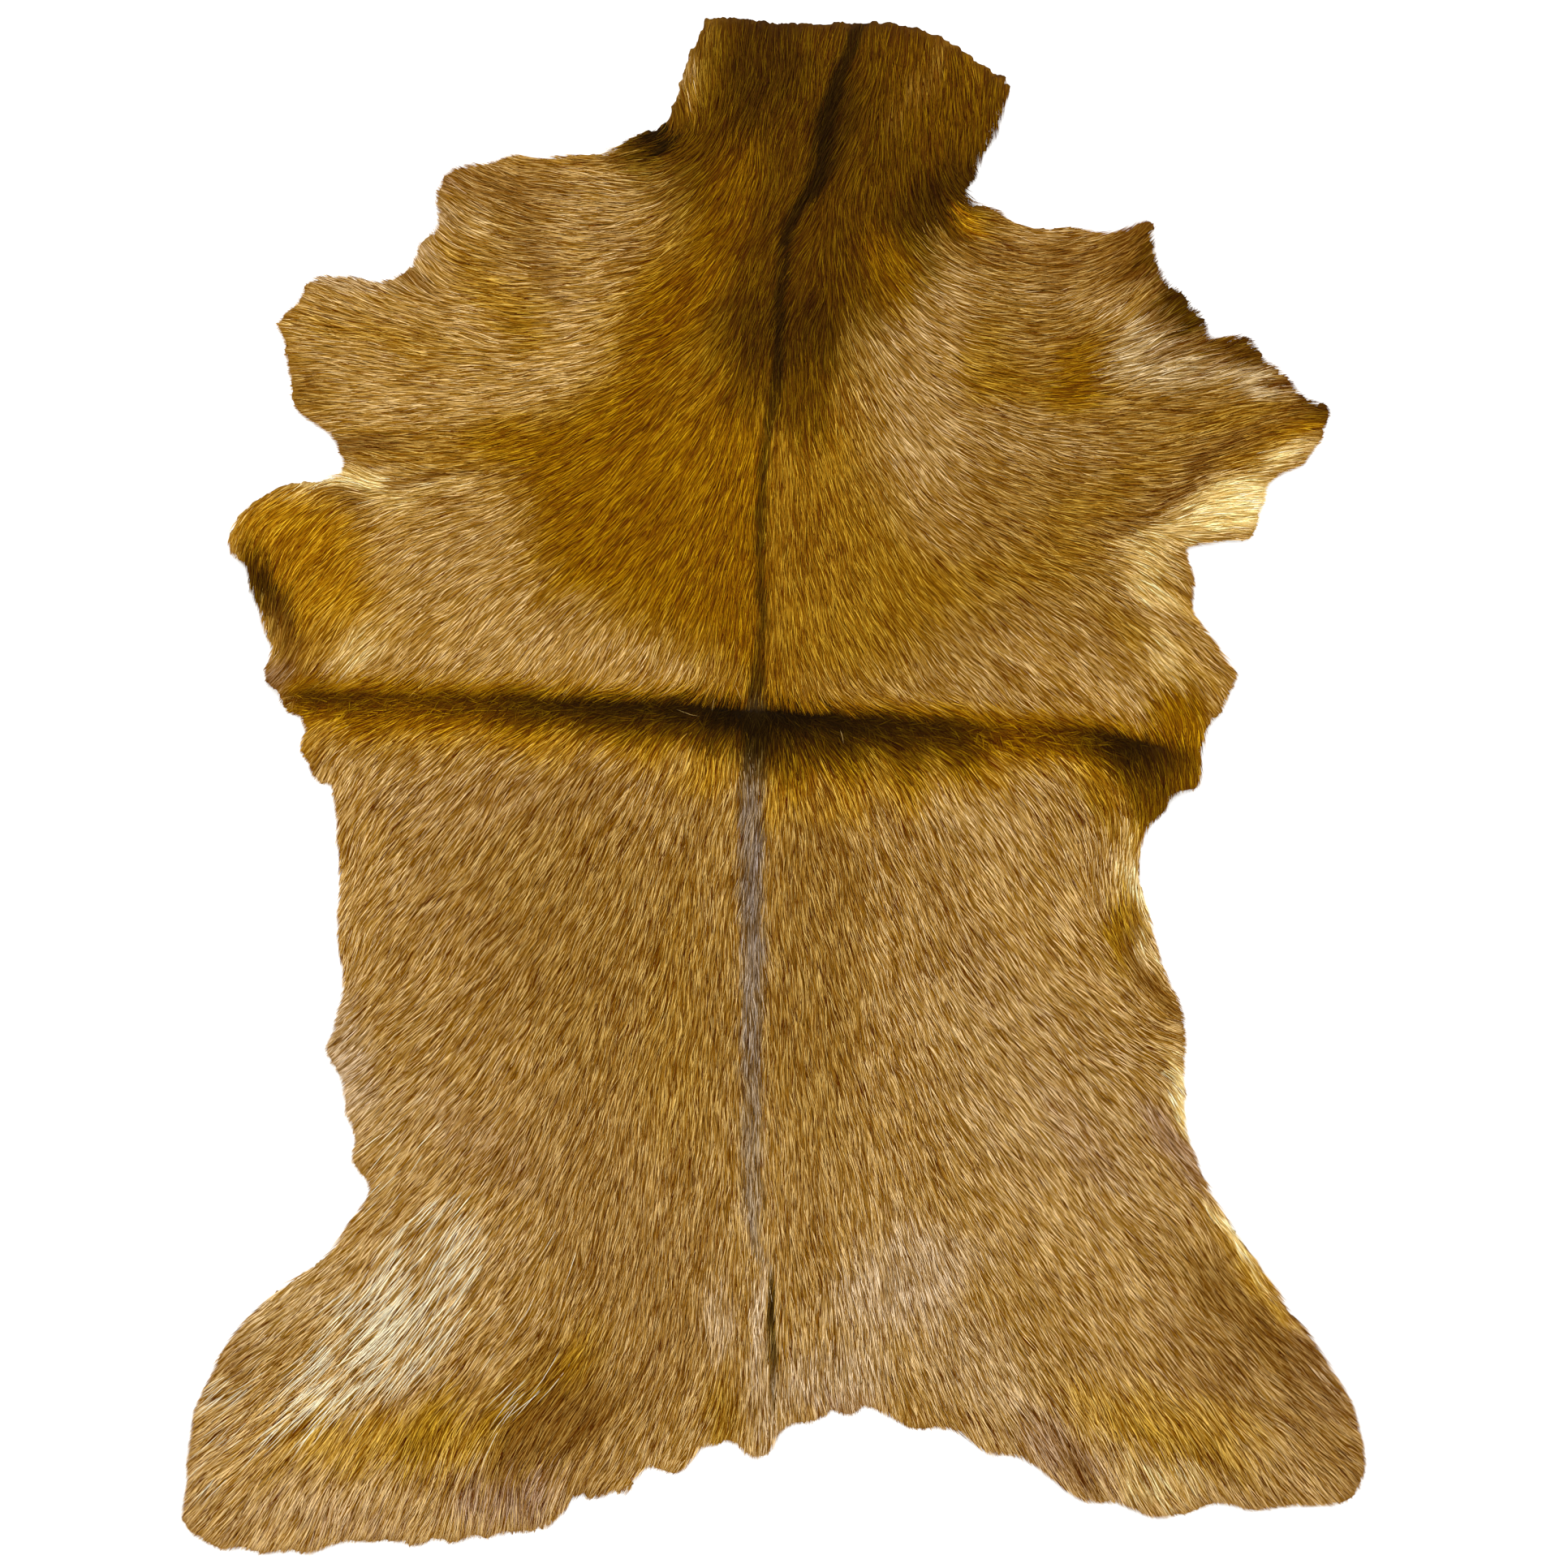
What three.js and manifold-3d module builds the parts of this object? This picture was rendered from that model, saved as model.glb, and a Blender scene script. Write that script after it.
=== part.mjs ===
// A goatskin rug: one tanned hide with its hair on, lying hair side up on a floor.
// X runs across the hide, +Y to the neck and +Z up, in millimetres. The origin is on the
// floor, under the middle of the hide's own width and length.
import * as THREE from "three";
import { mergeVertices } from "three/addons/utils/BufferGeometryUtils.js";
import Module from "manifold-3d";

// Driving dimensions.
const hideWidth = 731;
const hideLength = 951;
const skinThickness = 1.8;
const rimCoatShare = 0.5;
const rimTaper = 30;
const neckSideOfCrease = 42;
const tailSideOfCrease = 15;
const partingDepth = 1.5;
const partingNear = 4;
const partingFar = 38;

// How closely the outline and the two faces are followed.
const outlineStep = 7.5;
const raggedDepth = 0.6;
const cellSize = 19;
const cellsBeyondRim = 1;
const creaseBandReach = 110;
const rowsAtCrease = [-40, -24, -13, -5, 0, 7, 19, 38];

const coatColour = 0xa5783f;
const coatRoughness = 0.8;

// How deep the hair lies on the skin, from the hocks to the neck.
const coatDepths = [
  { y: -476, depth: 5.6 },
  { y: -330, depth: 4.8 },
  { y: -120, depth: 4.0 },
  { y: 180, depth: 4.0 },
  { y: 330, depth: 4.6 },
  { y: 476, depth: 5.2 },
];

// The fold across the middle, from the left edge to the right: where it runs and how high
// it still stands up from having been stored folded.
const crease = [
  { x: -310, y: 57, height: 6.5 },
  { x: -226, y: 55.5, height: 5 },
  { x: -156, y: 54, height: 4.2 },
  { x: -46, y: 50, height: 5 },
  { x: -14, y: 44, height: 4 },
  { x: 49, y: 43, height: 5.2 },
  { x: 124, y: 37.5, height: 4.4 },
  { x: 214, y: 31.5, height: 6 },
  { x: 290, y: 30, height: 7 },
];
const creaseMiddle = 44;

// Where the hide stands off the floor: soft waves and curled edges, each an oval with its
// long axis turned anticlockwise from +X.
const waves = [
  { name: "left foreleg curl", x: -309, y: 124, turn: -68, long: 50, wide: 24, height: 7 },
  { name: "left foreleg top", x: -305, y: 168, turn: 32, long: 42, wide: 22, height: 5 },
  { name: "left elbow", x: -296, y: 66, turn: -60, long: 34, wide: 20, height: 4 },
  { name: "left shoulder point", x: -286, y: 292, turn: 45, long: 42, wide: 24, height: 4 },
  { name: "left shoulder dip", x: -190, y: 362, turn: 10, long: 40, wide: 24, height: 3.5 },
  { name: "left neck edge", x: -62, y: 432, turn: 66, long: 50, wide: 20, height: 4 },
  { name: "right neck edge", x: 132, y: 424, turn: 78, long: 52, wide: 22, height: 5 },
  { name: "right shoulder edge", x: 242, y: 318, turn: -52, long: 56, wide: 22, height: 6 },
  { name: "right shoulder point", x: 292, y: 262, turn: -38, long: 40, wide: 20, height: 4.5 },
  { name: "right foreleg ridge", x: 276, y: 214, turn: 26, long: 82, wide: 26, height: 7 },
  { name: "right armpit", x: 284, y: 170, turn: 12, long: 42, wide: 20, height: 5 },
  { name: "right elbow", x: 276, y: 70, turn: 84, long: 38, wide: 20, height: 4 },
  { name: "right crease flap", x: 246, y: 12, turn: 78, long: 44, wide: 28, height: 7 },
  { name: "right belly edge", x: 236, y: -78, turn: -74, long: 66, wide: 16, height: 4 },
  { name: "right belly point", x: 248, y: -152, turn: -86, long: 46, wide: 16, height: 4 },
  { name: "right thigh edge", x: 300, y: -300, turn: -55, long: 96, wide: 18, height: 5.5 },
  { name: "left belly point", x: -268, y: -160, turn: 86, long: 44, wide: 18, height: 3.5 },
  { name: "left thigh edge", x: -318, y: -330, turn: 46, long: 70, wide: 18, height: 4 },
  { name: "tail", x: -6, y: -404, turn: 90, long: 26, wide: 16, height: 3 },
];

// The cut edge, anticlockwise from the neck's left corner. Each row is [x, y].
const outline = {
  neckLeft: [
    [-42, 475.5], [-47, 462.5], [-53, 453], [-57, 439], [-63, 423], [-66, 414], [-72, 405],
  ],
  leftShoulder: [
    [-80, 405.5], [-90, 399], [-95, 393], [-117, 390.5], [-136, 388], [-151, 389.5],
    [-162, 390], [-171, 387], [-182, 383.5], [-197, 383.5], [-205, 374.5], [-209, 363.5],
    [-206.5, 349], [-218, 335], [-223, 322], [-234, 314], [-246, 312], [-257, 315],
    [-278, 314.5], [-289.5, 310], [-292.5, 301], [-301, 292], [-306.5, 285], [-302.5, 275],
    [-300.5, 259], [-297.5, 245], [-298.5, 240], [-294.5, 232], [-284, 225], [-273.5, 216.5],
    [-268, 206], [-265, 200], [-268, 191.5],
  ],
  leftForeleg: [
    [-286, 189.5], [-303, 186.5], [-322.5, 175], [-331, 166.5], [-337, 154], [-334.5, 144.5],
    [-325.5, 134.5], [-321.5, 118], [-315.5, 106], [-312.5, 92], [-307.5, 83], [-313.5, 73],
    [-313, 63.5], [-304, 57], [-304, 50.5], [-299, 45], [-291, 43], [-289, 34],
  ],
  leftBelly: [
    [-293, 24], [-287, 14], [-281, 1], [-273.5, 0], [-270, -15], [-269, -36], [-267, -60],
    [-269, -78], [-268.5, -99], [-265, -113], [-266.5, -135], [-275.5, -162], [-275, -168],
    [-267.5, -178], [-263, -205], [-258, -218.5], [-260.5, -233], [-251, -243],
    [-250, -256], [-260, -267], [-265, -276.5], [-276, -289],
  ],
  leftHindLeg: [
    [-293.5, -303], [-312.5, -316.5], [-338.5, -346], [-348, -367.5], [-357, -386],
    [-361, -415], [-362.5, -439], [-365.5, -453], [-357.5, -463], [-342, -472],
    [-326, -471.5], [-316, -474.5], [-298, -472.5], [-289, -475.5], [-276, -469],
    [-258, -467.5], [-228, -468], [-223.5, -470.5], [-211, -465.5], [-199, -467.5],
    [-187, -464], [-176, -465], [-162, -461.5], [-142, -460], [-134.5, -453.5], [-122.5, -438],
  ],
  rump: [
    [-110, -441], [-99, -434.5], [-94.5, -439.5], [-86.5, -432], [-83, -421.5], [-75, -421.5],
    [-61.5, -425], [-54, -421.5], [-47, -409], [-37, -407], [-24, -406], [-17, -412],
    [-12.5, -415], [-1.5, -412], [1, -400.5], [7, -395.5], [24, -393.5], [37, -387],
    [50, -389.5], [55, -383.5], [73, -389.5], [86, -397], [108, -397], [116, -399],
    [137.5, -414], [147, -412.5],
  ],
  rightHindLeg: [
    [169, -425.5], [194, -442], [212, -442.5], [237, -452], [262, -447.5], [276, -443],
    [300, -448], [318, -444.5], [349, -443.5], [360, -438], [365.5, -422.5], [364, -406],
    [355, -378], [335, -345.5], [315, -318.5], [293.5, -286],
  ],
  rightBelly: [
    [277, -263], [264, -239], [254.5, -212], [253, -190], [254, -165], [252, -140],
    [240, -110], [230, -73], [226, -46], [230.5, -24], [240.5, -16.5], [244, -7],
    [254, -3], [261, -2], [263.5, 12.5],
  ],
  rightForeleg: [
    [264, 22.5], [267, 35.5], [277, 45.5], [280, 56], [284.5, 62], [287.5, 70.5], [277, 79],
    [273, 89], [262, 100.5], [258.5, 116], [260, 128], [255, 146], [274, 151], [294, 153],
    [300, 167], [305, 184], [311.5, 193.5], [323, 196.5], [334, 208.5], [342, 222],
    [344.5, 231.5], [340, 237.5], [331, 238], [312.5, 256.5], [303.5, 261], [301, 270],
    [289, 278.5], [271, 276.5], [267.5, 281], [268, 288],
  ],
  rightShoulder: [
    [257, 299], [247, 309], [240, 318], [234, 329], [235.5, 345], [233, 350], [218.5, 345],
    [211, 341.5], [195, 342.5], [188, 346], [160, 345.5], [149, 349], [137, 358], [118, 361.5],
  ],
  neckRight: [
    [118.5, 366], [125, 375], [127.5, 388], [138.5, 404], [141.5, 421], [146.5, 428],
    [143.5, 439], [134, 443], [120.5, 453], [104, 464.5], [84, 470.5], [55, 473.5],
    [20, 472], [-16, 475],
  ],
};

// A repeatable number from -1 to 1 for the edge's small nicks.
function nick(index) {
  const wave = Math.sin(index * 12.9898) * 43758.5453;
  return 2 * (wave - Math.floor(wave)) - 1;
}

// The cut edge as a closed line, with the knife's small nicks, fitted to the hide's size.
function cutEdge() {
  const corners = Object.values(outline)
    .flat()
    .map(([x, y]) => new THREE.Vector3(x, y, 0));
  const curve = new THREE.CatmullRomCurve3(corners, true, "centripetal");
  const edge = [];
  corners.forEach((corner, index) => {
    const next = corners[(index + 1) % corners.length];
    const steps = Math.max(1, Math.round(corner.distanceTo(next) / outlineStep));
    for (let step = 0; step < steps; step += 1) {
      const along = (index + step / steps) / corners.length;
      const point = curve.getPoint(along);
      const way = curve.getTangent(along);
      const depth = raggedDepth * nick(edge.length + 1);
      edge.push(new THREE.Vector2(point.x + way.y * depth, point.y - way.x * depth));
    }
  });
  const box = new THREE.Box2().setFromPoints(edge);
  const size = box.getSize(new THREE.Vector2());
  const centre = box.getCenter(new THREE.Vector2());
  return edge.map((point) => new THREE.Vector2(
    ((point.x - centre.x) * hideWidth) / size.x,
    ((point.y - centre.y) * hideLength) / size.y,
  ));
}

// A column of a table at a place along another one, with soft steps between its rows.
function readTable(rows, key, place, column) {
  const last = rows.length - 1;
  if (place <= rows[0][key]) return rows[0][column];
  if (place >= rows[last][key]) return rows[last][column];
  const above = rows.findIndex((row) => row[key] > place);
  const low = rows[above - 1];
  const high = rows[above];
  const share = THREE.MathUtils.smoothstep(place, low[key], high[key]);
  return low[column] + (high[column] - low[column]) * share;
}

// 1 in the middle of a wave, falling to 0 without a step at its border.
function hump(share) {
  return Math.abs(share) < 1 ? (1 - share * share) ** 2 : 0;
}

function waveLift(wave, x, y) {
  const turn = THREE.MathUtils.degToRad(wave.turn);
  const across = x - wave.x;
  const up = y - wave.y;
  const alongWave = across * Math.cos(turn) + up * Math.sin(turn);
  const besideWave = up * Math.cos(turn) - across * Math.sin(turn);
  return wave.height * hump(alongWave / wave.long) * hump(besideWave / wave.wide);
}

// How far a point lies from the fold, positive on its neck side.
function fromCrease(x, y) {
  return y - readTable(crease, "x", x, "y");
}

function creaseLift(x, y) {
  const distance = fromCrease(x, y);
  const reach = distance > 0 ? neckSideOfCrease : tailSideOfCrease;
  const share = Math.max(0, 1 - Math.abs(distance) / reach);
  return readTable(crease, "x", x, "height") * share * share;
}

// The height of the skin's underside over the floor: 0 where the hide lies flat.
function underside(x, y) {
  const lifts = waves.map((wave) => waveLift(wave, x, y));
  return Math.max(creaseLift(x, y), ...lifts);
}

// The hair opens on the tail side of the fold, which leaves a shallow trough in the coat.
function parting(x, y) {
  const distance = -fromCrease(x, y);
  if (distance < 0 || distance > partingFar) return 0;
  const share = distance < partingNear
    ? distance / partingNear
    : 1 - (distance - partingNear) / (partingFar - partingNear);
  return partingDepth * share;
}

function coatUnevenness(x, y) {
  const broad = Math.sin(x / 41 + y / 67) * Math.cos(y / 53 - x / 97);
  const small = Math.sin(x / 19 - y / 29 + 1.3) * Math.sin(y / 23 + x / 37);
  return 0.3 * broad + 0.2 * small;
}

function distanceToEdge(edge, x, y) {
  const place = new THREE.Vector3(x, y, 0);
  const nearest = new THREE.Vector3();
  const side = new THREE.Line3();
  let least = Infinity;
  edge.forEach((point, index) => {
    const next = edge[(index + 1) % edge.length];
    side.start.set(point.x, point.y, 0);
    side.end.set(next.x, next.y, 0);
    side.closestPointToPoint(place, true, nearest);
    least = Math.min(least, nearest.distanceTo(place));
  });
  return least;
}

function isInside(edge, x, y) {
  let inside = false;
  edge.forEach((point, index) => {
    const next = edge[(index + 1) % edge.length];
    const spans = (point.y > y) !== (next.y > y);
    if (!spans) return;
    const crossing = point.x + ((y - point.y) / (next.y - point.y)) * (next.x - point.x);
    if (x < crossing) inside = !inside;
  });
  return inside;
}

// Skin and lying hair together, thinner towards the cut edge.
function peltThickness(edge, x, y) {
  const inwards = isInside(edge, x, y) ? distanceToEdge(edge, x, y) : 0;
  const fullness = THREE.MathUtils.lerp(
    rimCoatShare,
    1,
    THREE.MathUtils.smoothstep(inwards, 0, rimTaper),
  );
  const coat = readTable(coatDepths, "y", y, "depth") + coatUnevenness(x, y) - parting(x, y);
  return skinThickness + coat * fullness;
}

// The rows of the sheet's mesh. They crowd together at the fold and follow it.
function sheetRows() {
  const rows = rowsAtCrease.map((offset) => creaseMiddle + offset);
  const highest = hideLength / 2 + cellSize * cellsBeyondRim;
  for (let y = rows[rows.length - 1] + cellSize; y < highest; y += cellSize) rows.push(y);
  rows.push(highest);
  const lowest = -highest;
  for (let y = rows[0] - cellSize; y > lowest; y -= cellSize) rows.unshift(y);
  rows.unshift(lowest);
  return rows;
}

function sheetColumns() {
  const reach = hideWidth / 2 + cellSize * cellsBeyondRim;
  const count = Math.round((2 * reach) / cellSize);
  return Array.from({ length: count + 1 }, (_, index) => -reach + (2 * reach * index) / count);
}

// A closed sheet, wider than the hide, with the hide's two faces.
function wavySheet(edge) {
  const columns = sheetColumns();
  const rows = sheetRows();
  const lower = [];
  const upper = [];
  rows.forEach((row) => {
    columns.forEach((x) => {
      const bend = readTable(crease, "x", x, "y") - creaseMiddle;
      const y = row + bend * Math.max(0, 1 - Math.abs(row - creaseMiddle) / creaseBandReach);
      const z = underside(x, y);
      lower.push(x, y, z);
      upper.push(x, y, z + peltThickness(edge, x, y));
    });
  });
  const layer = lower.length / 3;
  const wide = columns.length;
  const high = rows.length;
  const faces = [];
  const quad = (a, b, c, d) => faces.push(a, b, c, a, c, d);
  for (let row = 0; row < high - 1; row += 1) {
    for (let column = 0; column < wide - 1; column += 1) {
      const corner = row * wide + column;
      quad(corner, corner + wide, corner + wide + 1, corner + 1);
      quad(layer + corner, layer + corner + 1, layer + corner + wide + 1, layer + corner + wide);
    }
  }
  const rim = [];
  for (let column = 0; column < wide - 1; column += 1) rim.push(column);
  for (let row = 0; row < high - 1; row += 1) rim.push(row * wide + wide - 1);
  for (let column = wide - 1; column > 0; column -= 1) rim.push((high - 1) * wide + column);
  for (let row = high - 1; row > 0; row -= 1) rim.push(row * wide);
  rim.forEach((corner, index) => {
    const next = rim[(index + 1) % rim.length];
    quad(corner, next, layer + next, layer + corner);
  });
  const geometry = new THREE.BufferGeometry();
  geometry.setAttribute("position", new THREE.Float32BufferAttribute([...lower, ...upper], 3));
  geometry.setIndex(faces);
  return geometry;
}

// The cut edge as a straight-sided block, taller than the sheet's highest wave.
function cutter(edge) {
  const blockHeight = 60;
  const below = 10;
  const block = new THREE.ExtrudeGeometry(new THREE.Shape(edge), {
    depth: blockHeight,
    bevelEnabled: false,
  });
  block.translate(0, 0, -below);
  return block;
}

function toSolid(wasm, geometry) {
  const bare = geometry.clone();
  bare.deleteAttribute("normal");
  bare.deleteAttribute("uv");
  const merged = mergeVertices(bare);
  return new wasm.Manifold(new wasm.Mesh({
    numProp: 3,
    vertProperties: new Float32Array(merged.attributes.position.array),
    triVerts: new Uint32Array(merged.index.array),
  }));
}

function toGeometry(solid) {
  const mesh = solid.getMesh();
  const geometry = new THREE.BufferGeometry();
  geometry.setAttribute("position", new THREE.Float32BufferAttribute(mesh.vertProperties, 3));
  geometry.setIndex(new THREE.Uint32BufferAttribute(mesh.triVerts, 1));
  geometry.computeVertexNormals();
  return geometry;
}

const wasm = await Module();
wasm.setup();

// The hide is one skin, so it is one solid: the wavy sheet cut to the hide's edge.
function makeHide() {
  const edge = cutEdge();
  const hide = toSolid(wasm, wavySheet(edge)).intersect(toSolid(wasm, cutter(edge)));
  const mesh = new THREE.Mesh(
    toGeometry(hide),
    new THREE.MeshStandardMaterial({
      color: coatColour,
      roughness: coatRoughness,
      metalness: 0,
    }),
  );
  mesh.name = "hide";
  return mesh;
}

const rug = new THREE.Group();
rug.name = "goatskin_rug";
rug.add(makeHide());

export default rug;
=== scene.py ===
import math

import bpy
import numpy as np
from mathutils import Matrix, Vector
from mathutils.bvhtree import BVHTree
from mathutils.geometry import delaunay_2d_cdt


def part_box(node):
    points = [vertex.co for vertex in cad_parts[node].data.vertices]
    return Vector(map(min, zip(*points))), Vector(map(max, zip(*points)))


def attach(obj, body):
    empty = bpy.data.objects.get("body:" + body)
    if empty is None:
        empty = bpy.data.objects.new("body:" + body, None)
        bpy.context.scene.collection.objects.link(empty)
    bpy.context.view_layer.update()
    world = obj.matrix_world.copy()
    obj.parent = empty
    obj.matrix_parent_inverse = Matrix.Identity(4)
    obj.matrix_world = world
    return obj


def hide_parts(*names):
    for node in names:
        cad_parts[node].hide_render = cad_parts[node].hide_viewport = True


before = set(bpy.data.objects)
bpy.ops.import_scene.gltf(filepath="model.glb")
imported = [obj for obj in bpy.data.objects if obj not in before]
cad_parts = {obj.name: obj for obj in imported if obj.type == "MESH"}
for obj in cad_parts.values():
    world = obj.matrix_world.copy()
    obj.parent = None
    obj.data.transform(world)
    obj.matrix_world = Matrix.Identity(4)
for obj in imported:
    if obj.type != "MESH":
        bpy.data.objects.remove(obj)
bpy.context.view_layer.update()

# Camera
# The hide is seen from straight above, with its neck at the top of the picture. One side of the
# square picture takes in 966 mm at the hide, whose middle lies a little left of the picture's.
MM = 0.001
picture_side = 966 * MM
picture_middle = Vector((6.75, 0.75, 5)) * MM
lens = 70
sensor = 36

camera_data = bpy.data.cameras.new("camera")
camera_data.lens = lens
camera_data.sensor_width = sensor
camera_data.clip_start = 0.05
camera_data.clip_end = 50
camera = bpy.data.objects.new("camera", camera_data)
camera.location = picture_middle + Vector((0, 0, lens / sensor * picture_side))
bpy.context.scene.collection.objects.link(camera)
bpy.context.scene.camera = camera

# Skin
# One whole goatskin, tanned and shaved to an even thickness, cut round by hand. Its flesh side is
# pale and sueded. The hair grows out of its other side, so it carries the coat and nothing else.
skin_thickness = 1.6
rim_thickness = 1.0
rim_inset = 0.5
rim_step = 1.4
rim_rough = 0.2
rim_nick_width = 4
# Where the knife left the rim ragged: how deep its nicks are there. Elsewhere they are shallow.
even_nicks = 1.3
ragged_rims = {
    "neck right": {"x": 148, "y": 400, "turn": 80, "long": 66, "wide": 34, "depth": 4.6},
    "right shoulder": {"x": 262, "y": 296, "turn": -48, "long": 90, "wide": 40, "depth": 4.4},
    "right tip": {"x": 322, "y": 236, "turn": -30, "long": 44, "wide": 26, "depth": 3},
    "neck left": {"x": -70, "y": 406, "turn": 60, "long": 50, "wide": 24, "depth": 1.8},
    "left shoulder": {"x": -222, "y": 336, "turn": 34, "long": 96, "wide": 40, "depth": 2.8},
    "left foreleg": {"x": -310, "y": 96, "turn": -66, "long": 60, "wide": 30, "depth": 2.2},
    "right elbow": {"x": 262, "y": 60, "turn": -80, "long": 60, "wide": 24, "depth": 1.6},
    "left foot": {"x": -120, "y": -440, "turn": 30, "long": 90, "wide": 30, "depth": 2.6},
    "right foot": {"x": 150, "y": -420, "turn": -30, "long": 90, "wide": 34, "depth": 2.4},
}
rim_thinning = 12
least_thickness = 0.8
point_spacing = 6
point_jitter = 1
point_margin = 0.6
chart_step = 2.5
chart_margin = 20
root_shadow = (0.6, 0.5, 0.4)
flesh_colours = {"pale": (0.66, 0.55, 0.41), "dull": (0.5, 0.39, 0.26), "vein": (0.4, 0.29, 0.19)}
vein_bend = 0.09
vein_strength = 0.2
nap_strength = 0.35
nap_depth = 0.6 * MM
# Soft ridges that only the eye sees: an oval of half length and half width, turned from +X.
ripples = {
    "left shoulder fold": {"x": -152, "y": 316, "turn": 82, "long": 52, "wide": 14, "height": 1.8},
    "left neck fold": {"x": -112, "y": 330, "turn": 70, "long": 40, "wide": 12, "height": 1.4},
    "left armpit fold": {"x": -246, "y": 184, "turn": -34, "long": 34, "wide": 6, "height": 1.8},
    "left elbow fold": {"x": -212, "y": 168, "turn": 14, "long": 46, "wide": 9, "height": 1.6},
    "left foreleg fold": {"x": -292, "y": 128, "turn": 62, "long": 42, "wide": 12, "height": 2},
    "right armpit fold": {"x": 250, "y": 178, "turn": 34, "long": 52, "wide": 10, "height": 2.4},
    "right armpit edge": {"x": 268, "y": 158, "turn": 8, "long": 34, "wide": 6, "height": 1.5},
    "right shoulder fold": {"x": 206, "y": 268, "turn": 66, "long": 34, "wide": 12, "height": 1.6},
    "right neck fold": {"x": 112, "y": 352, "turn": 50, "long": 36, "wide": 8, "height": 1.8},
    "right belly fold": {"x": 226, "y": 62, "turn": -46, "long": 36, "wide": 10, "height": 1.6},
    "right waist fold": {"x": 214, "y": -106, "turn": -62, "long": 32, "wide": 8, "height": 1.8},
    "right thigh fold": {"x": 282, "y": -322, "turn": -52, "long": 70, "wide": 12, "height": 2},
    "left waist fold": {"x": -252, "y": -176, "turn": 86, "long": 40, "wide": 10, "height": 1.4},
    "rump fold": {"x": 0, "y": -336, "turn": 88, "long": 44, "wide": 5, "height": 1},
}


def solid_triangles(node):
    """The corners of a solid's triangles, in millimetres."""
    mesh = node.data
    mesh.calc_loop_triangles()
    places = np.empty(len(mesh.vertices) * 3)
    mesh.vertices.foreach_get("co", places)
    corners = np.empty(len(mesh.loop_triangles) * 3, dtype=np.int32)
    mesh.loop_triangles.foreach_get("vertices", corners)
    return places.reshape(-1, 3)[corners].reshape(-1, 3, 3) / MM


def outer_loop(triangles):
    """The rim of a flat sheet of triangles, as one loop of x, y points."""
    keys = np.round(triangles[:, :, :2], 2)
    steps = {}
    for a, b, c in keys:
        for start, end in ((a, b), (b, c), (c, a)):
            steps[(tuple(start), tuple(end))] = True
    following = {start: end for start, end in steps if (end, start) not in steps}
    first = place = next(iter(following))
    loop = []
    while place in following and (not loop or place != first):
        loop.append(place)
        place = following.pop(place)
    return np.array(loop)


def loop_area(loop):
    """The area inside a loop, negative where it runs clockwise."""
    x, y = loop.T
    return float(np.sum(x * np.roll(y, -1) - y * np.roll(x, -1))) / 2


def finer_loop(loop, step):
    """The same loop with points a step apart."""
    closed = np.vstack([loop, loop[:1]])
    along = np.append(0, np.cumsum(np.hypot(*np.diff(closed, axis=0).T)))
    wanted = np.linspace(0, along[-1], int(along[-1] / step), endpoint=False)
    return np.column_stack([np.interp(wanted, along, closed[:, k]) for k in (0, 1)])


def is_inside(loop, x, y):
    """Whether each place lies inside a loop."""
    inside = np.zeros(x.shape, bool)
    for (x0, y0), (x1, y1) in zip(loop, np.roll(loop, -1, axis=0)):
        if y0 != y1:
            crosses = (y0 > y) != (y1 > y)
            inside ^= crosses & (x < (x1 - x0) * (y - y0) / (y1 - y0) + x0)
    return inside


def distance_to_loop(loop, x, y):
    """How far each place lies from a loop's line."""
    nearest = np.full(x.shape, 1e9)
    for (x0, y0), (x1, y1) in zip(loop, np.roll(loop, -1, axis=0)):
        dx, dy = x1 - x0, y1 - y0
        share = np.clip(((x - x0) * dx + (y - y0) * dy) / (dx * dx + dy * dy), 0, 1)
        nearest = np.minimum(nearest, (x - x0 - share * dx) ** 2 + (y - y0 - share * dy) ** 2)
    return np.sqrt(nearest)


def oval(x, y, row):
    """How far each place lies from the middle of a row's turned oval: 0 there and 1 on its edge."""
    c, s = math.cos(math.radians(row["turn"])), math.sin(math.radians(row["turn"]))
    dx, dy = x - row["x"], y - row["y"]
    return np.hypot((dx * c + dy * s) / row["long"], (dy * c - dx * s) / row["wide"])


def soft_step(value):
    """0 below 0, 1 above 1, and a smooth rise between."""
    value = np.clip(value, 0, 1)
    return value * value * (3 - 2 * value)


def cloud(x, y, size, seed):
    """Smooth noise from -1 to 1 whose blots are about size millimetres wide."""
    knots = np.random.default_rng(seed).uniform(-1, 1, (256, 256))
    u, v = x / size + 97.3, y / size + 83.1
    i, j = np.floor(v).astype(int), np.floor(u).astype(int)
    v, u = soft_step(v - i), soft_step(u - j)
    i, j = i % 255, j % 255
    return ((knots[i, j] * (1 - u) + knots[i, j + 1] * u) * (1 - v)
            + (knots[i + 1, j] * (1 - u) + knots[i + 1, j + 1] * u) * v)


def nicks(x, y):
    """How deep the knife has nicked the rim beside each place, in millimetres."""
    depth = even_nicks
    for row in ragged_rims.values():
        depth = depth + (row["depth"] - even_nicks) * soft_step(1.5 - 1.5 * oval(x, y, row))
    blots = cloud(x, y, rim_nick_width, seed=12) + 0.5 * cloud(x, y, rim_nick_width / 2, seed=13)
    return depth * soft_step(0.4 + blots)


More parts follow.
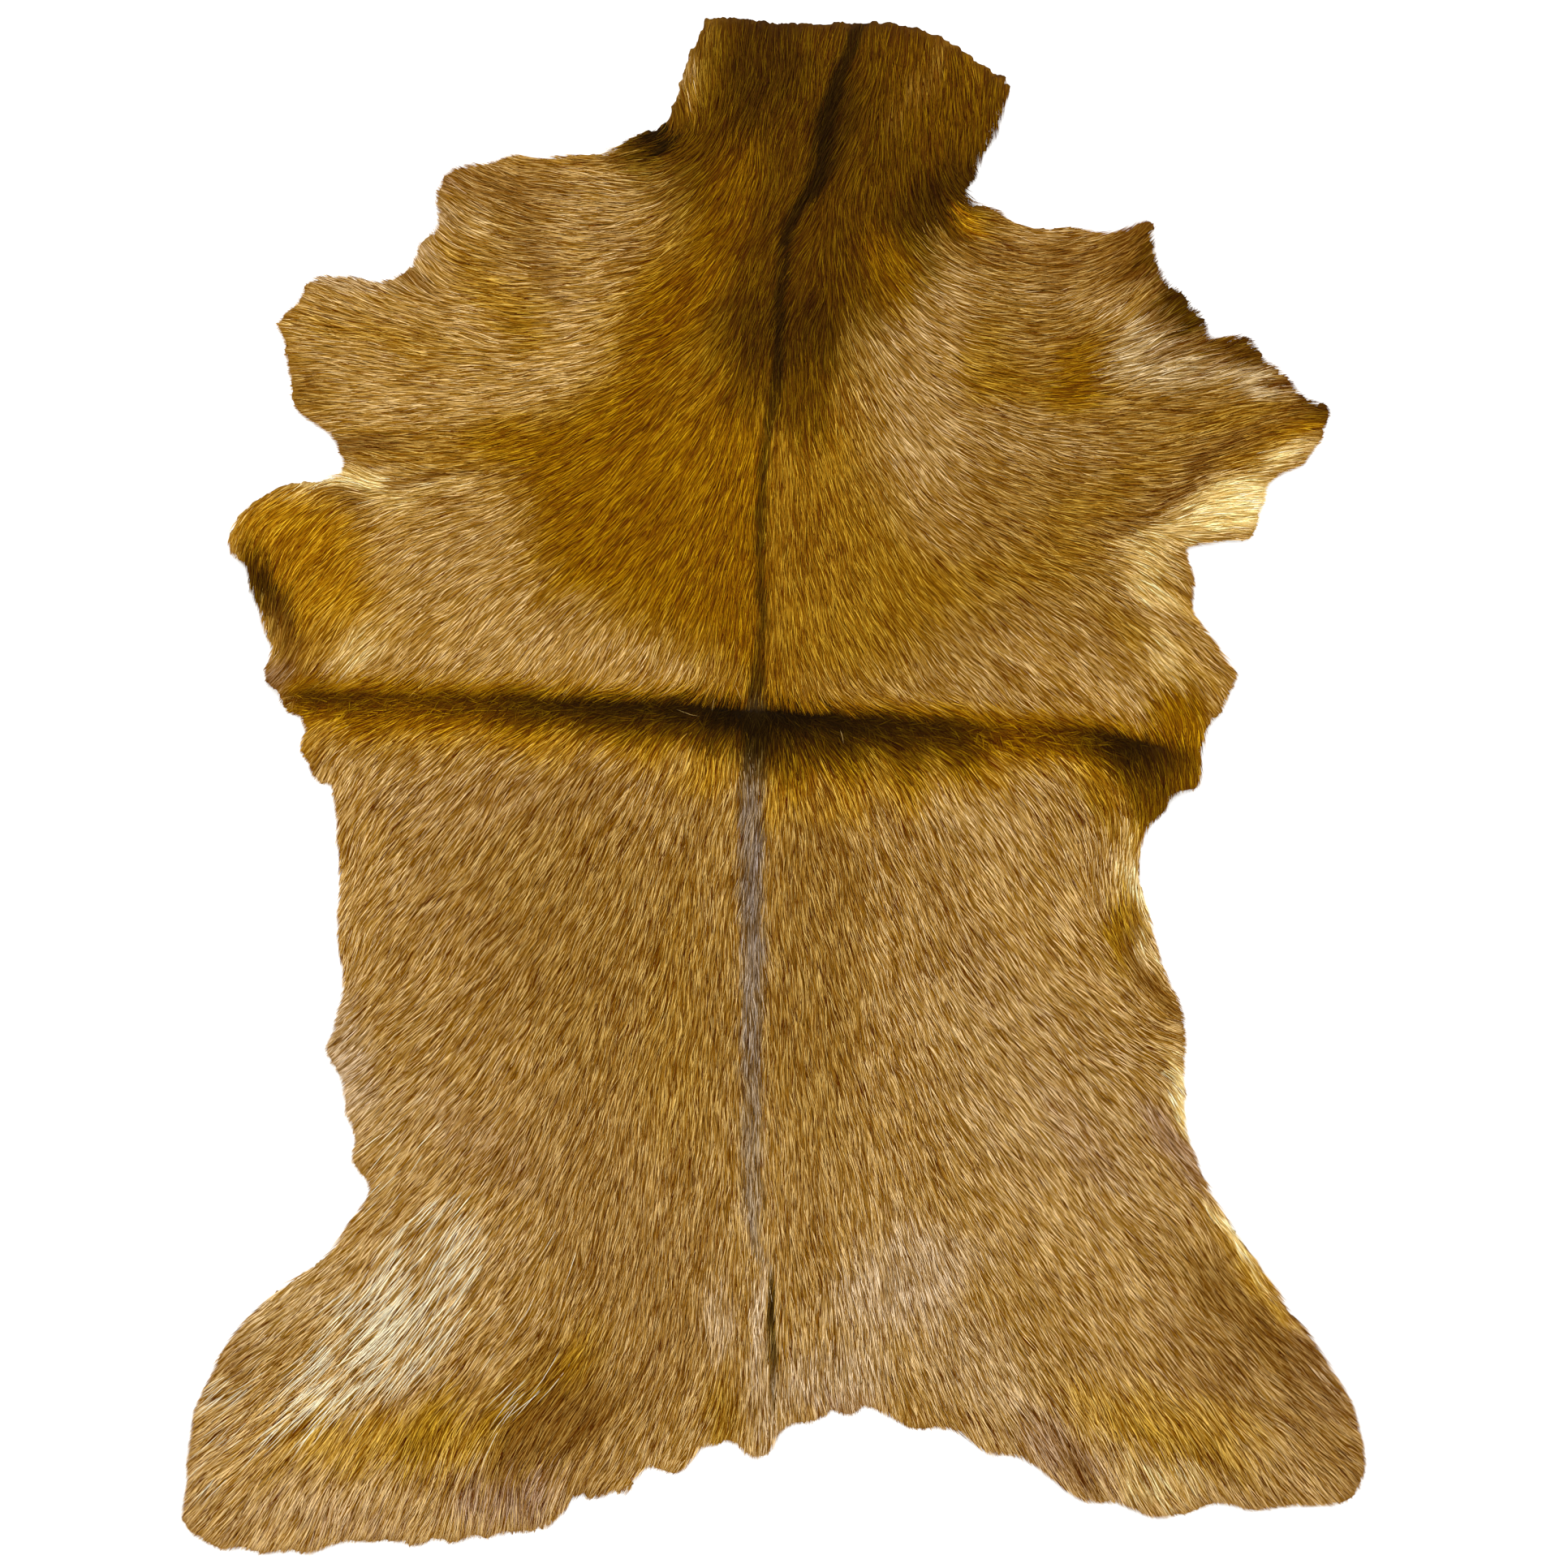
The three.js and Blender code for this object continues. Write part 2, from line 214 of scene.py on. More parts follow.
def grow_outwards(chart, rounds):
    """A chart whose empty places are filled from the ones beside them."""
    for _ in range(rounds):
        empty = np.isnan(chart)
        padded = np.pad(chart, 1, constant_values=np.nan)
        rows, columns = chart.shape
        beside = np.stack([padded[1 + i:1 + i + rows, 1 + j:1 + j + columns]
                           for i in (-1, 0, 1) for j in (-1, 0, 1)])
        known = ~np.isnan(beside)
        average = np.where(known, beside, 0).sum(0) / np.maximum(known.sum(0), 1)
        chart = np.where(empty & known.any(0), average, chart)
    return np.nan_to_num(chart)


def blur(chart, rounds):
    """A chart with each place averaged with its neighbours."""
    for _ in range(rounds):
        for axis in (0, 1):
            ends = [(1, 1) if k == axis else (0, 0) for k in range(chart.ndim)]
            padded = np.pad(chart, ends, mode="edge")
            count = chart.shape[axis]
            take = [padded.take(range(k, k + count), axis=axis) for k in (0, 1, 2)]
            chart = (take[0] + 2 * take[1] + take[2]) / 4
    return chart


def read(chart, x, y):
    """A chart's value at each place, between its four nearest entries."""
    column = np.clip((x - chart_x[0]) / chart_step, 0, len(chart_x) - 1.001)
    row = np.clip((y - chart_y[0]) / chart_step, 0, len(chart_y) - 1.001)
    i, j = row.astype(int), column.astype(int)
    v, u = row - i, column - j
    if chart.ndim == 3:
        v, u = v[:, None], u[:, None]
    return ((chart[i, j] * (1 - u) + chart[i, j + 1] * u) * (1 - v)
            + (chart[i + 1, j] * (1 - u) + chart[i + 1, j + 1] * u) * v)


def height_chart(triangles, from_above):
    """The height of a surface over every place of the chart, smoothed over its facets."""
    tree = BVHTree.FromPolygons(
        [tuple(p) for p in triangles.reshape(-1, 3)],
        [(k, k + 1, k + 2) for k in range(0, len(triangles) * 3, 3)])
    start, way = (100, -1) if from_above else (-100, 1)
    heights = np.full((len(chart_y), len(chart_x)), np.nan)
    for i, y in enumerate(chart_y):
        for j, x in enumerate(chart_x):
            hit = tree.ray_cast((x, y, start), (0, 0, way))[0]
            if hit:
                heights[i, j] = hit.z
    return blur(grow_outwards(heights, int(chart_margin / chart_step)), 2)


def new_object(name, places, faces, material_list):
    """A mesh object from points in millimetres and faces."""
    mesh = bpy.data.meshes.new(name)
    mesh.from_pydata((np.asarray(places) * MM).tolist(), [], faces)
    for material in material_list:
        mesh.materials.append(material)
    made = bpy.data.objects.new(name, mesh)
    bpy.context.scene.collection.objects.link(made)
    return made


class Value:
    """An output of a finish's nodes. Sums on it add Math nodes."""

    def __init__(self, finish, socket):
        self.finish = finish
        self.socket = socket

    def sum(self, operation, first, second):
        return self.finish.node("ShaderNodeMath", {"operation": operation}, {0: first, 1: second})

    def __add__(self, other):
        return self.sum("ADD", self, other)

    def __sub__(self, other):
        return self.sum("SUBTRACT", self, other)

    def __rsub__(self, other):
        return self.sum("SUBTRACT", other, self)

    def __mul__(self, other):
        return self.sum("MULTIPLY", self, other)

    __radd__ = __add__
    __rmul__ = __mul__


class Finish:
    """A material, built from nodes that end in one shader."""

    def __init__(self, name, **constants):
        self.material = bpy.data.materials.new(name)
        self.material.use_nodes = True
        self.tree = self.material.node_tree
        self.shader = self.tree.nodes["Principled BSDF"]
        for socket, value in constants.items():
            self.shader.inputs[socket.replace("_", " ")].default_value = value

    def node(self, kind, settings, sockets, output=0):
        """A node of one kind: its settings are set first, then its sockets are given or linked."""
        made = self.tree.nodes.new(kind)
        for name, value in settings.items():
            setattr(made, name, value)
        for name, value in sockets.items():
            self.plug(made.inputs[name], value)
        return Value(self, made.outputs[output])

    def plug(self, socket, value):
        """Gives a socket a number, a colour or a link."""
        if isinstance(value, Value):
            self.tree.links.new(value.socket, socket)
        elif isinstance(value, tuple) and socket.type == "RGBA":
            socket.default_value = (*value, 1)
        else:
            socket.default_value = value

    def mix(self, share, first, second, blend="MIX"):
        """The first colour with a share of the second, laid over it or multiplied with it."""
        settings = {"data_type": "RGBA", "blend_type": blend}
        return self.node("ShaderNodeMix", settings, {0: share, 6: first, 7: second}, 2)

    def place(self):
        """Where the surface lies, in metres."""
        return self.node("ShaderNodeTexCoord", {}, {}, "Object")

    def noise(self, scale, detail, rough=0.5, output=0):
        """Cloudy noise from 0 to 1 over the piece, in cycles a metre."""
        sockets = {"Vector": self.place(), "Scale": scale, "Detail": detail, "Roughness": rough}
        return self.node("ShaderNodeTexNoise", {}, sockets, output)

    def steps(self, value, low, high):
        """The value spread so that low becomes 0 and high becomes 1."""
        return self.node("ShaderNodeMapRange", {"interpolation_type": "SMOOTHSTEP"},
                         {"Value": value, "From Min": low, "From Max": high})

    def feed(self, **values):
        """Links the shader's sockets."""
        for socket, value in values.items():
            self.plug(self.shader.inputs[socket.replace("_", " ")], value)


hide_low, hide_high = (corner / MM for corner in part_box("hide"))
chart_x = np.arange(hide_low.x - chart_margin, hide_high.x + chart_margin, chart_step)
chart_y = np.arange(hide_low.y - chart_margin, hide_high.y + chart_margin, chart_step)
chart_place = np.meshgrid(chart_x, chart_y)

hide = solid_triangles(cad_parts["hide"])
facing = np.cross(hide[:, 1] - hide[:, 0], hide[:, 2] - hide[:, 0])
facing = facing[:, 2] / np.maximum(np.linalg.norm(facing, axis=1), 1e-9)
underside = height_chart(hide[facing < -0.5], from_above=False)
coat_top = height_chart(hide[facing > 0.5], from_above=True)
rim = outer_loop(hide[facing > 0.5])
rim_distance = distance_to_loop(rim, *chart_place)
rim_distance = np.where(is_inside(rim, *chart_place), rim_distance, -rim_distance)
ripple_chart = sum(row["height"] * soft_step(1 - oval(*chart_place, row)) for row in ripples.values())
skin_bottom = underside + ripple_chart
skin_share = soft_step((rim_distance - rim_inset) / rim_thinning)
skin_top = skin_bottom + rim_thickness + (skin_thickness - rim_thickness) * skin_share

# The cut line: nicked by the knife, a little inside the hair tips.
rng = np.random.default_rng(11)
cut = finer_loop(rim, rim_step)
ahead = np.roll(cut, -2, axis=0) - np.roll(cut, 2, axis=0)
ahead /= np.linalg.norm(ahead, axis=1)[:, None]
inwards = np.sign(loop_area(cut)) * np.column_stack([-ahead[:, 1], ahead[:, 0]])
cut = cut + inwards * (rim_inset + nicks(*cut.T) + rng.normal(0, rim_rough, len(cut)))[:, None]

spread_x = np.arange(chart_x[0], chart_x[-1], point_spacing)
spread_y = np.arange(chart_y[0], chart_y[-1], point_spacing * math.sqrt(0.75))
inner_x, inner_y = (a.ravel() for a in np.meshgrid(spread_x, spread_y))
inner_x = inner_x + np.repeat(np.arange(len(spread_y)) % 2, len(spread_x)) * point_spacing / 2
inner_x = inner_x + rng.uniform(-point_jitter, point_jitter, inner_x.shape)
inner_y = inner_y + rng.uniform(-point_jitter, point_jitter, inner_y.shape)
kept = read(rim_distance, inner_x, inner_y) > rim_inset + point_spacing * point_margin
flat = np.vstack([cut, np.column_stack([inner_x[kept], inner_y[kept]])])
corner_count = len(cut)
points, _, sheet_faces, *_ = delaunay_2d_cdt(
    [Vector(p) for p in flat], [], [list(range(corner_count))], 1, 1e-6)
points = np.array([tuple(p) for p in points])

under_z = np.maximum(read(skin_bottom, *points.T), 0)
over_z = np.maximum(read(skin_top, *points.T), under_z + least_thickness)
uses = {}
for face in sheet_faces:
    for k, start in enumerate(face):
        uses[(start, face[(k + 1) % 3])] = True
rim_sides = [(a, b) for a, b in uses if (b, a) not in uses]
count = len(points)
skin_faces = [tuple(f) for f in sheet_faces]
skin_faces += [tuple(k + count for k in reversed(f)) for f in sheet_faces]
skin_faces += [(b, a, a + count, b + count) for a, b in rim_sides]

# The hair side of the skin: the colour of the hair on it, darkened in mottled patches by root_shadow,
# painted shade down among the roots.
hair_side = Finish("hair_side", Roughness=0.9, Specular_IOR_Level=0.1)
roots = hair_side.node("ShaderNodeAttribute", {"attribute_name": "hair_colour"}, {}, "Color")
mottle = hair_side.steps(hair_side.noise(500, 3), 0.3, 0.7)
hair_side.feed(Base_Color=hair_side.mix(mottle, roots, root_shadow, "MULTIPLY"))

flesh = Finish("flesh_side", Roughness=0.92, Sheen_Weight=0.25, Sheen_Roughness=0.6)
cloudy = flesh.steps(flesh.noise(9, 5), 0.35, 0.68)
swirl = flesh.noise(14, 4, output="Color")
bent = flesh.node("ShaderNodeVectorMath", {"operation": "MULTIPLY_ADD"},
                  {0: swirl, 1: (vein_bend,) * 3, 2: flesh.place()})
veins = flesh.node("ShaderNodeTexVoronoi", {"feature": "DISTANCE_TO_EDGE"}, {"Vector": bent, "Scale": 11})
vein_mask = 1 - flesh.steps(veins + flesh.noise(30, 3) * 0.06, 0.03, 0.07)
nap = flesh.noise(700, 3, 0.7)
flesh_base = flesh.mix(cloudy, flesh_colours["pale"], flesh_colours["dull"])
flesh_base = flesh.mix(vein_mask * vein_strength, flesh_base, flesh_colours["vein"])
flesh_base = flesh.mix(flesh.steps(nap, 0.3, 0.8) * nap_strength, flesh_base, flesh_colours["dull"])
flesh.feed(Base_Color=flesh_base, Normal=flesh.node(
    "ShaderNodeBump", {}, {"Strength": 0.5, "Distance": nap_depth, "Height": nap + cloudy * 0.5}))

skin_points = np.vstack([np.column_stack([points, over_z]), np.column_stack([points, under_z])])
skin = new_object("skin", skin_points, skin_faces, [hair_side.material, flesh.material])
skin.data.polygons.foreach_set(
    "material_index", np.repeat([0, 1, 1], [len(sheet_faces), len(sheet_faces), len(rim_sides)]))
skin.data.polygons.foreach_set("use_smooth", np.ones(len(skin_faces), bool))
skin.data.update()
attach(skin, "root")
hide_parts("hide")

# Underhair
# The lowest layer of the coat: soft short hairs that grow out of the skin, lie down the way the
# goat's coat lies and hide the skin between the longer hairs. They show where the coat parts.
# How the hair lies: at x, y in millimetres it points at an angle, 0 to +X and -90 to the tail.
lay = {
    "neck": [
        (-41, 464, -90), (-51, 429, -76), (-26, 419, -106), (4, 454, -92), (24, 434, -96),
        (43, 433, -120), (40, 392, -118), (74, 454, -93), (84, 424, -90), (84, 389, -91),
        (119, 444, -87), (136, 429, -93), (119, 399, -92), (94, 364, -77), (107, 350, -58),
        (124, 352, -10), (142, 352, -12), (14, 338, -128), (18, 364, -118), (49, 359, -92),
        (64, 334, -66), (49, 319, -80), (16, 300, -114), (29, 264, -88), (74, 319, -50),
        (104, 319, -30), (134, 312, -16), (54, 264, -60), (74, 274, -46), (99, 274, -34),
        (-56, 380, -150), (-41, 369, -124), (-16, 369, -108), (4, 384, -96), (-56, 334, -146),
        (-26, 319, -120), (-6, 319, -104), (-51, 284, -140), (-26, 264, -116), (-9, 264, -100)],
    "left shoulder": [
        (-80, 384, -174), (-96, 369, 178), (-126, 374, 174), (-166, 369, 163), (-194, 374, 150),
        (-202, 344, 136), (-219, 321, 134), (-251, 309, 156), (-284, 309, 164), (-296, 280, 174),
        (-226, 284, 168), (-176, 334, 166), (-176, 284, 171), (-126, 334, 177), (-126, 299, -176),
        (-86, 324, -168), (-81, 284, -154), (-276, 244, 178), (-226, 244, 178), (-176, 244, -178),
        (-126, 254, -170), (-86, 254, -150), (-56, 249, -134), (-256, 214, 176), (-206, 214, -178),
        (-156, 211, -164), (-116, 209, -148), (-76, 204, -134), (-46, 199, -118), (-21, 204, -102)],
    "left foreleg": [
        (-250, 190, 156), (-226, 186, 170), (-188, 182, -168), (-292, 182, -150), (-312, 172, -140),
        (-325, 160, -118), (-332, 150, -104), (-318, 140, -88), (-303, 150, -120), (-288, 158, -132),
        (-272, 150, -136), (-256, 158, -146), (-242, 166, -152), (-218, 172, -160), (-233, 128, -140),
        (-272, 120, -134), (-296, 112, -112), (-308, 116, -92), (-306, 94, -100), (-304, 70, -132),
        (-286, 82, -120), (-264, 84, -122), (-234, 84, -132), (-204, 112, -142), (-172, 142, -148),
        (-142, 158, -146), (-112, 128, -136), (-76, 150, -126), (-40, 140, -112), (-20, 120, -99)],
    "above the crease": [
        (-204, 74, -130), (-172, 97, -134), (-142, 80, -128), (-112, 80, -121), (-66, 82, -114),
        (-26, 82, -102), (-2, 82, -92), (24, 84, -75), (54, 84, -62), (84, 76, -57)],
    "crease": [
        (-280, 52, -172), (-250, 52, -176), (-200, 51, -174), (-150, 49, -172), (-100, 47, -168),
        (-60, 46, -160), (-30, 44, -120), (-12, 42, -92), (14, 41, -70), (40, 40, -28),
        (70, 39, -22), (110, 36, -18), (150, 33, -16), (180, 30, -20), (208, 26, -38),
        (-264, 42, -150), (-220, 39, -147), (-172, 36, -144), (-142, 34, -138), (-112, 28, -128),
        (-64, 22, -114), (-36, 20, -102), (-10, 14, -92), (14, 14, -80), (46, 22, -58),
        (86, 18, -44), (136, 14, -42), (184, 14, -52), (-280, 26, -124)],
    "left flank": [
        (-264, 4, -118), (-234, 12, -130), (-204, 12, -130), (-172, -10, -125), (-128, -10, -120),
        (-66, -14, -112), (-26, -24, -102), (-266, -40, -109), (-264, -106, -106), (-236, -66, -128),
        (-196, -66, -128), (-150, -66, -122), (-106, -56, -115), (-66, -56, -105), (-40, -56, -98),
        (-250, -136, -134), (-266, -152, -138), (-226, -142, -136), (-186, -142, -130),
        (-136, -142, -118), (-86, -142, -106), (-46, -142, -96), (-262, -192, -142),
        (-226, -206, -135), (-186, -216, -128), (-126, -216, -111), (-76, -216, -98), (-36, -216, -92)],
    "left thigh": [
        (-266, -266, -140), (-301, -296, -140), (-326, -336, -141), (-341, -376, -142),
        (-336, -406, -145), (-351, -440, -132), (-236, -296, -130), (-251, -341, -136),
        (-276, -376, -136), (-201, -296, -125), (-201, -366, -130), (-166, -336, -131),
        (-156, -371, -134), (-301, -416, -132), (-251, -406, -121), (-311, -446, -119),
        (-276, -452, -112), (-236, -448, -114), (-196, -416, -108), (-176, -441, -101),
        (-156, -441, -94), (-146, -416, -113), (-126, -396, -124), (-126, -426, -114),
        (-106, -386, -122), (-76, -366, -112), (-66, -396, -116), (-96, -426, -121),
        (-61, -346, -101), (-126, -316, -112), (-166, -296, -124), (-176, -256, -128),
        (-216, -256, -132), (-126, -266, -108), (-76, -291, -98), (-26, -316, -92), (-6, -366, -91)],
    "rump": [(24, -341, -88), (54, -366, -80), (74, -316, -78), (99, -366, -68), (64, -390, -78)],
    "right thigh": [
        (124, -316, -63), (124, -391, -58), (158, -266, -53), (202, -280, -49), (232, -266, -48),
        (258, -266, -52), (268, -288, -56), (290, -310, -49), (283, -288, -57), (305, -339, -46),
        (334, -361, -41), (349, -383, -41), (349, -412, -38), (334, -426, -45), (320, -398, -43),
        (290, -368, -48), (261, -339, -46), (232, -324, -50), (188, -324, -53), (158, -324, -56),
        (158, -368, -59), (188, -368, -62), (217, -368, -53), (246, -383, -50), (210, -404, -63),
        (188, -400, -66), (174, -404, -60), (188, -426, -56), (210, -420, -66), (232, -420, -63),
        (232, -441, -56), (261, -426, -60), (290, -426, -58), (305, -441, -53), (342, -438, -50)],
    "right flank": [
        (10, -56, -86), (10, -150, -88), (16, -230, -87), (79, -26, -65), (110, -42, -62),
        (79, -88, -69), (110, -88, -61), (140, -72, -53), (171, -57, -55), (171, -103, -49),
        (194, -88, -52), (216, -86, -72), (216, -56, -94), (229, -88, -62), (229, -118, -52),
        (240, -118, -60), (242, -136, -34), (216, -134, -42), (242, -150, -14), (242, -166, -20),
        (216, -158, -35), (194, -134, -42), (171, -150, -46), (234, -180, -45), (248, -188, -64),
        (240, -202, -56), (210, -196, -46), (171, -196, -50), (140, -150, -50), (110, -150, -60),
        (79, -150, -70), (140, -211, -53), (110, -211, -60), (79, -211, -72), (216, -232, -50),
        (44, -60, -78), (44, -150, -79), (44, -240, -80), (50, -290, -80)],
    "below the crease, right": [
        (54, -16, -69), (84, -4, -62), (129, -4, -60), (130, -30, -58), (183, -12, -62),
        (198, -28, -72), (210, -35, -90), (219, -30, -110), (219, -52, -100), (204, -58, -80),
        (160, -50, -57), (206, 11, -59), (214, 0, -70), (223, 3, -77), (236, -10, -95)],
    "right foreleg and belly": [
        (254, 126, -44), (229, 118, -40), (244, 103, -38), (259, 90, -42), (279, 72, -41),
        (274, 57, -52), (236, 83, -43), (251, 64, -50), (259, 54, -62), (244, 54, -60),
        (244, 34, -79), (259, 34, -82), (251, 11, -86), (232, 18, -79), (228, 38, -62),
        (204, 44, -42), (213, 64, -48), (190, 80, -44), (160, 64, -46), (129, 57, -48),
        (129, 87, -42), (160, 103, -38), (190, 118, -36), (129, 133, -33), (160, 133, -29),
        (216, 150, -18), (244, 142, -34), (221, 134, -29), (190, 142, -22), (99, 108, -48),
        (60, 130, -62), (30, 140, -78), (8, 150, -90), (8, 230, -92)],
    "right shoulder": [
        (129, 348, -10), (144, 326, -11), (175, 333, 4), (198, 333, 11), (213, 341, 30),
        (229, 344, 46), (229, 321, 47), (213, 318, 35), (198, 313, 22), (183, 310, 12),
        (160, 306, 0), (137, 303, -13), (236, 307, 42), (248, 299, 38), (259, 287, 30),
        (221, 295, 42), (206, 287, 30), (190, 278, 20), (167, 272, 5), (144, 272, -12),
        (229, 275, 24), (244, 269, 18), (267, 264, 10), (290, 264, 13), (297, 257, 10),
        (221, 257, 14), (190, 254, 10), (167, 241, 0), (144, 234, -18), (206, 234, 4),
        (236, 234, 6), (267, 241, 10), (297, 244, 8), (328, 232, -2), (313, 226, 8),
        (282, 218, 14), (251, 218, 8), (221, 214, -2), (190, 211, -6), (160, 203, -20),
        (129, 211, -30), (305, 211, 12), (320, 211, 6), (282, 199, 12), (290, 180, -2),
        (259, 180, 20), (244, 172, 24), (267, 165, 8), (290, 162, 2), (221, 188, -2),
        (190, 180, -8), (221, 172, -6), (160, 172, -20), (129, 172, -30), (80, 200, -52),
        (56, 190, -64), (30, 200, -78)],
}
lay_softness = 7
# The coat's colours in daylight, as red, green and blue up to 255. A blue below 0 keeps even the
# lighter hairs of that colour deep.
# Sand, grey sand and pale sand are partly paler hair and partly painted sheen, where the hair gives back
# the light.
coat_colours = {
    "tan": (166, 123, 49), "neck brown": (88, 53, -10), "dark brown": (62, 35, -14),
    "ochre brown": (134, 84, -12), "ochre": (145, 98, 8), "dull ochre": (149, 106, 34),
    "gold": (168, 120, 28), "orange": (170, 115, 4), "pale tan": (185, 142, 65), "sand": (180, 141, 76),
    "grey sand": (186, 153, 106), "pale sand": (202, 173, 122), "dusk": (139, 96, 35),
    "brown": (114, 71, 16), "black brown": (22, 9, -8), "cream": (255, 224, 150),
    "butter": (220, 184, 110), "lilac": (150, 111, 71), "stripe": (127, 107, 90), "white": (252, 242, 206),
}
# Broad areas of one colour: how much of it shows, how soft its edge is, and its corners.
zones = {
    "left shoulder": {"colour": "pale tan", "strength": 0.85, "soft": 18, "corners": [
        (-306, 296), (-276, 314), (-206, 346), (-146, 330), (-96, 330), (-70, 322), (-100, 259),
        (-130, 236), (-176, 224), (-261, 222), (-290, 246)]},
    "left side": {"colour": "pale tan", "strength": 0.8, "soft": 20, "corners": [
        (-246, 186), (-200, 178), (-160, 188), (-152, 144), (-130, 113), (-92, 98), (-50, 80),
        (-36, 58), (-240, 60), (-248, 104), (-260, 146)]},
    "left saddle": {"colour": "ochre brown", "strength": 0.9, "soft": 26, "corners": [
        (-66, 344), (-80, 318), (-94, 288), (-102, 258), (-120, 240), (-150, 226), (-182, 216),
        (-168, 198), (-154, 172), (-150, 142), (-130, 118), (-94, 104), (-54, 86), (-22, 62), (4, 56),
        (4, 262), (-46, 272)]},
    "left band": {"colour": "gold", "strength": 0.75, "soft": 8, "corners": [
        (-266, 222), (-214, 217), (-176, 222), (-146, 226), (-158, 194), (-206, 191), (-250, 200)]},
    "left foreleg": {"colour": "orange", "strength": 0.88, "soft": 18, "corners": [
        (-336, 164), (-316, 186), (-284, 182), (-262, 164), (-252, 136), (-242, 112), (-238, 94),
        (-270, 82), (-300, 84), (-312, 112), (-328, 134)]},
    "right shoulder": {"colour": "dull ochre", "strength": 0.8, "soft": 14, "corners": [
        (124, 354), (214, 346), (269, 284), (324, 239), (314, 216), (244, 199), (214, 156), (150, 132),
        (112, 150), (124, 194), (134, 264), (112, 314)]},
    "right side": {"colour": "dull ochre", "strength": 0.6, "soft": 22, "corners": [
        (84, 84), (124, 112), (174, 136), (226, 146), (214, 112), (166, 90), (124, 66), (54, 60)]},
    "right saddle": {"colour": "ochre", "strength": 0.88, "soft": 22, "corners": [
        (-4, 262), (30, 264), (50, 238), (60, 194), (76, 154), (110, 134), (160, 142), (216, 166),
        (206, 146), (160, 126), (116, 104), (84, 84), (34, 62), (-2, 54)]},
    "pale arc": {"colour": "sand", "strength": 0.65, "soft": 20, "corners": [
        (84, 318), (116, 322), (128, 306), (112, 279), (112, 244), (126, 206), (110, 182), (86, 194),
        (74, 229), (66, 274)]},
    "neck": {"colour": "neck brown", "strength": 0.97, "soft": 26, "corners": [
        (-40, 490), (-52, 444), (-64, 416), (-84, 410), (-96, 388), (-72, 374), (-50, 344), (-46, 314),
        (-44, 280), (-36, 256), (-24, 238), (6, 230), (34, 252), (50, 276), (70, 300), (90, 320),
        (112, 340), (128, 356), (150, 362), (170, 434), (124, 484), (54, 494)]},
}
